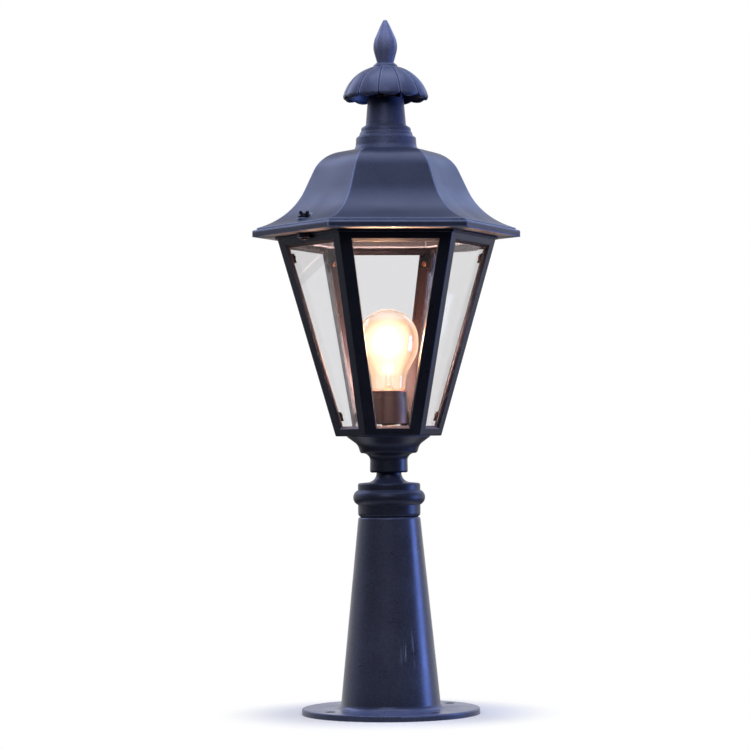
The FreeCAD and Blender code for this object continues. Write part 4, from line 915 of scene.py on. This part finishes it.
@dataclass(frozen=True)
class Lantern:
    """Cage, panes, clips and hinge pin."""

    pane_sides: tuple[str, ...] = ("front", "front_right", "back_right", "back", "back_left", "front_left")

    def build(self) -> None:
        """Dress the cage, its glass and its hardware."""
        dress(CAGE_PAINT_SHADED, "lantern_cage")
        dress(PANE_GLASS, *["pane_" + side for side in self.pane_sides])
        dress(BLACK_OXIDE, "pane_clips")
        dress(BROWNED_STEEL, "pane_clip_screws")
        dress(ZINC, "hinge_pin")


@dataclass(frozen=True)
class LampHolder:
    """Strap, moulded body and the threaded shell inside it."""

    shell_wall: float = 0.5 * MM
    thread_depth: float = 0.5 * MM

    def build(self) -> None:
        """Dress the holder and roll the shell's thread."""
        dress(YELLOW_ZINC, "socket_bracket", "socket_screws")
        dress(PHENOLIC, "socket_body")
        dress(BRASS, "socket_contact")
        low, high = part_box("socket_shell")
        thread = Thread(radius=high.x, depth=self.thread_depth, pitch=BULB_THREAD_PITCH,
                        spans=((low.z, high.z),), low=low.z, high=high.z, bore=high.x - self.shell_wall,
                        wall_follows=True)
        shell = new_piece("holder_shell", thread.mesh("holder_shell"), BRASS, "lantern")
        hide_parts("socket_shell")


@dataclass(frozen=True)
class Bulb:
    """Lit bulb: envelope, glass mount, coiled filament, threaded cap and the light it gives."""

    cap_radius: float = 12.9 * MM
    thread_depth: float = 0.75 * MM
    thread_run_out: float = 0.4 * BULB_THREAD_PITCH
    coil_radius: float = 0.62 * MM
    coil_wire: float = 0.16 * MM
    coil_turns: int = 26
    coil_room: float = 0.8 * MM
    points_per_turn: int = 14
    tangent_step: float = 0.01
    hook_spread: float = 9.0 * MM
    bow_back: float = 4.5 * MM
    bow_rise: float = 3.0 * MM
    support_wire: float = 0.4 * MM
    support_foot: float = 1.8 * MM
    light_colour: str = "#ffd2ac"
    light_power: float = 14.0
    light_radius: float = 11.0 * MM

    def hook_height(self) -> float:
        """Height of the hooks that hold the filament's ends."""
        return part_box("bulb_filament")[1].z - self.bow_rise - self.coil_room

    def bow(self, share: float) -> Vector:
        """Point on the filament's line.

        Args:
            share: From -1 at one hook to 1 at the other.

        Returns:
            The point.
        """
        dip = 1.0 - share ** 2
        return Vector((self.hook_spread * share, self.bow_back * dip,
                       self.hook_height() + self.bow_rise * dip))

    def coil(self) -> list[Vector]:
        """Points of the filament's coil, wound about its bowed line.

        Returns:
            The points in order.
        """
        count = self.coil_turns * self.points_per_turn
        points = []
        for step in range(count + 1):
            share = 2.0 * step / count - 1.0
            along = (self.bow(share + self.tangent_step) - self.bow(share - self.tangent_step)).normalized()
            side = along.cross(Vector((0, 0, 1))).normalized()
            turn = math.tau * step / self.points_per_turn
            spoke = side * math.cos(turn) + side.cross(along) * math.sin(turn)
            points.append(self.bow(share) + self.coil_radius * spoke)
        return points

    def build(self) -> None:
        """Dress the bulb, wind its filament, roll its cap's thread and light it."""
        dress(BULB_GLASS, "bulb_glass")
        dress(MOUNT_GLASS, "bulb_stem")
        dress(BLACK_GLASS, "bulb_insulator")
        dress(SOLDER, "bulb_tip")
        coil = new_piece("filament_coil", wire("filament_coil", [self.coil()], self.coil_wire), TUNGSTEN,
                         "bulb")
        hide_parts("bulb_filament")
        foot_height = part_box("bulb_stem")[1].z
        runs = [[Vector((side * self.support_foot, 0, foot_height)), self.bow(side)] for side in (-1, 1)]
        new_piece("filament_supports", wire("filament_supports", runs, self.support_wire), ZINC, "bulb")
        low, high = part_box("bulb_base")
        thread = Thread(radius=self.cap_radius, depth=self.thread_depth, pitch=BULB_THREAD_PITCH,
                        spans=((low.z, high.z - self.thread_run_out),), low=low.z, high=high.z)
        cap = new_piece("bulb_cap", thread.mesh("bulb_cap"), BULB_METAL, "bulb")
        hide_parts("bulb_base")
        self.shine()

    def shine(self) -> None:
        """Add the warm light that the filament gives."""
        light = bpy.data.lights.new("filament_light", "POINT")
        light.color = linear(self.light_colour)[:3]
        light.energy = self.light_power
        light.shadow_soft_size = self.light_radius
        lamp = new_object("filament_light", light)
        lamp.location = (0, 0, self.hook_height())
        lamp.visible_camera = False
        lamp.visible_transmission = False


@dataclass(frozen=True)
class Roof:
    """Bell roof, vent neck, petal cap, finial and the tie rod that holds them."""

    thread_pitch: float = 1.0 * MM
    thread_depth: float = 0.35 * MM
    thread_length: float = 14.0 * MM
    rod_segments: int = 32

    def build(self) -> None:
        """Dress the castings and cut the tie rod's threads."""
        dress(ROOF_PAINT_SHADED, "roof_shell")
        dress(NECK_PAINT_LIT, "roof_neck")
        dress(CAP_PAINT_LIT, "vent_cap")
        dress(FINIAL_PAINT_LIT, "finial")
        dress(ZINC, "tie_rod_bar", "tie_rod_washer", "tie_rod_nut")
        low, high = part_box("tie_rod")
        thread = Thread(radius=high.x, depth=self.thread_depth, pitch=self.thread_pitch,
                        spans=end_spans(low.z, high.z, self.thread_length), low=low.z, high=high.z,
                        segments=self.rod_segments)
        rod = new_piece("threaded_tie_rod", thread.mesh("threaded_tie_rod"), ZINC, "roof")
        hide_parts("tie_rod")


@dataclass(frozen=True)
class ThumbScrew:
    """Wing-headed screw and washer on the roof's front-left side."""

    def build(self) -> None:
        """Dress the screw and its washer."""
        dress(BLACK_OXIDE, "thumb_screw", "thumb_screw_washer")


@dataclass(frozen=True)
class SoftBox:
    """A large soft studio lamp that faces the lantern."""

    name: str
    place: Triple
    size: Span
    power: float
    colour: str

    def build(self, target: Vector) -> None:
        """Hang the lamp and aim it.

        Args:
            target: Point that the lamp faces.
        """
        light = bpy.data.lights.new(self.name, "AREA")
        light.shape = "RECTANGLE"
        light.size, light.size_y = self.size
        light.energy = self.power
        light.color = linear(self.colour)[:3]
        lamp = new_object(self.name, light)
        lamp.location = self.place
        lamp.rotation_euler = (target - lamp.location).to_track_quat("-Z", "Y").to_euler()
        lamp.visible_camera = False


@dataclass(frozen=True)
class Studio:
    """Floor, white surround, soft lamps and the camera at the picture's angle.

    Room, ground and ceiling are shares of the backdrop's brightness. Each rise is the span of a direction's
    Z, or Y for the backdrop, over which one brightness passes into the next.
    """

    floor_radius: float = 0.32
    floor_sides: int = 96
    surround: float = 0.12
    surround_colour: str = "#e6ebf7"
    room: float = 0.18
    ground: float = 0.12
    ceiling: float = 0.45
    backdrop_rise: Span = (-0.4, 0.4)
    ground_rise: Span = (-0.25, 0.0)
    ceiling_rise: Span = (0.2, 0.6)
    boxes: tuple[SoftBox, ...] = (
        SoftBox("overhead_box", (0.0, -0.3, 2.4), (2.0, 1.6), 44.0, "#e9eeff"),
        SoftBox("left_box", (-1.3, 1.3, 1.6), (1.2, 1.2), 15.0, "#c6d2ff"),
        SoftBox("right_box", (1.3, 1.3, 1.6), (1.2, 1.2), 8.0, "#98b6ff"),
        SoftBox("right_low_box", (1.9, 0.0, 0.25), (0.6, 0.9), 24.0, "#8fafff"),
        SoftBox("front_box", (-0.5, -2.0, 1.7), (1.4, 1.4), 24.0, "#fbf9ff"),
    )
    camera_distance: float = 2.65
    camera_height: float = 0.257
    camera_azimuth: float = -5.2
    camera_roll: float = -0.5
    picture_size: float = 750.0
    focal_pixels: float = 2650.0
    axis_pixel: float = 388.8
    horizon_pixel: float = 456.5
    sensor_mm: float = 36.0

    def build(self) -> None:
        """Set up everything round the lamp."""
        self.lay_floor()
        self.surround_with_white()
        low, high = CAD_BOX
        for box in self.boxes:
            box.build((low + high) / 2)
        self.set_camera()
        bpy.context.scene.view_settings.view_transform = "Standard"

    def lay_floor(self) -> None:
        """Lay a round sheet of pale paper just under the flange."""
        turns = [math.tau * step / self.floor_sides for step in range(self.floor_sides)]
        rim = [(self.floor_radius * math.cos(turn), self.floor_radius * math.sin(turn), CAD_BOX[0].z)
               for turn in turns]
        mesh = bpy.data.meshes.new("floor_paper")
        mesh.from_pydata(rim, [], [tuple(range(self.floor_sides))])
        mesh.materials.append(StudioPaper().material())
        floor = new_object("floor_paper", mesh)

    def surround_with_white(self) -> None:
        """Stand the lamp before a white backdrop in a dimmer room, plain white to the eye."""
        world = bpy.data.worlds.new("white_surround")
        world.use_nodes = True
        tree = world.node_tree
        tree.nodes.clear()
        outward = add_node(tree, "ShaderNodeSeparateXYZ",
                           {0: add_node(tree, "ShaderNodeTexCoord").outputs["Generated"]}).outputs
        level = rescaled(tree, outward["Y"], self.backdrop_rise, (self.room, 1.0),
                         interpolation_type="SMOOTHSTEP")
        above = rescaled(tree, outward["Z"], self.ceiling_rise, (1.0, self.ceiling))
        below = rescaled(tree, outward["Z"], self.ground_rise, (self.ground, 1.0))
        for share in (above, below):
            level = maths(tree, "MULTIPLY", level, share)
        bright = maths(tree, "MAXIMUM", level, any_ray(tree, Ray.CAMERA, Ray.TRANSMISSION))
        soft = add_node(tree, "ShaderNodeBackground",
                        {"Color": linear(self.surround_colour),
                         "Strength": maths(tree, "MULTIPLY", level, self.surround)})
        white = add_node(tree, "ShaderNodeBackground", {"Color": linear(WHITE), "Strength": bright})
        seen = any_ray(tree, Ray.CAMERA, Ray.GLOSSY, Ray.TRANSMISSION)
        shown = add_node(tree, "ShaderNodeMixShader", {0: seen, 1: soft.outputs[0], 2: white.outputs[0]})
        add_node(tree, "ShaderNodeOutputWorld", {"Surface": shown.outputs[0]})
        bpy.context.scene.world = world

    def set_camera(self) -> None:
        """Place the camera so that the lamp lies in the frame as in the picture."""
        data = bpy.data.cameras.new("camera")
        data.sensor_width = self.sensor_mm
        data.lens = self.focal_pixels / self.picture_size * self.sensor_mm
        middle = self.picture_size / 2
        data.shift_x = (middle - self.axis_pixel) / self.picture_size
        data.shift_y = (self.horizon_pixel - middle) / self.picture_size
        turn = math.radians(self.camera_azimuth)
        camera = new_object("camera", data)
        camera.location = (self.camera_distance * math.sin(turn), -self.camera_distance * math.cos(turn),
                           self.camera_height)
        aim = Vector((-math.sin(turn), math.cos(turn), 0)).to_track_quat("-Z", "Y").to_matrix()
        camera.rotation_euler = (aim @ Matrix.Rotation(math.radians(self.camera_roll), 3, "Z")).to_euler()
        bpy.context.scene.camera = camera


def main() -> None:
    """Dress every sub-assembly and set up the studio."""
    logging.basicConfig(level=logging.INFO, format="%(message)s")
    for assembly in (Pedestal(), Lantern(), LampHolder(), Bulb(), Roof(), ThumbScrew()):
        assembly.build()
    Studio().build()


if __name__ == "__main__":
    main()
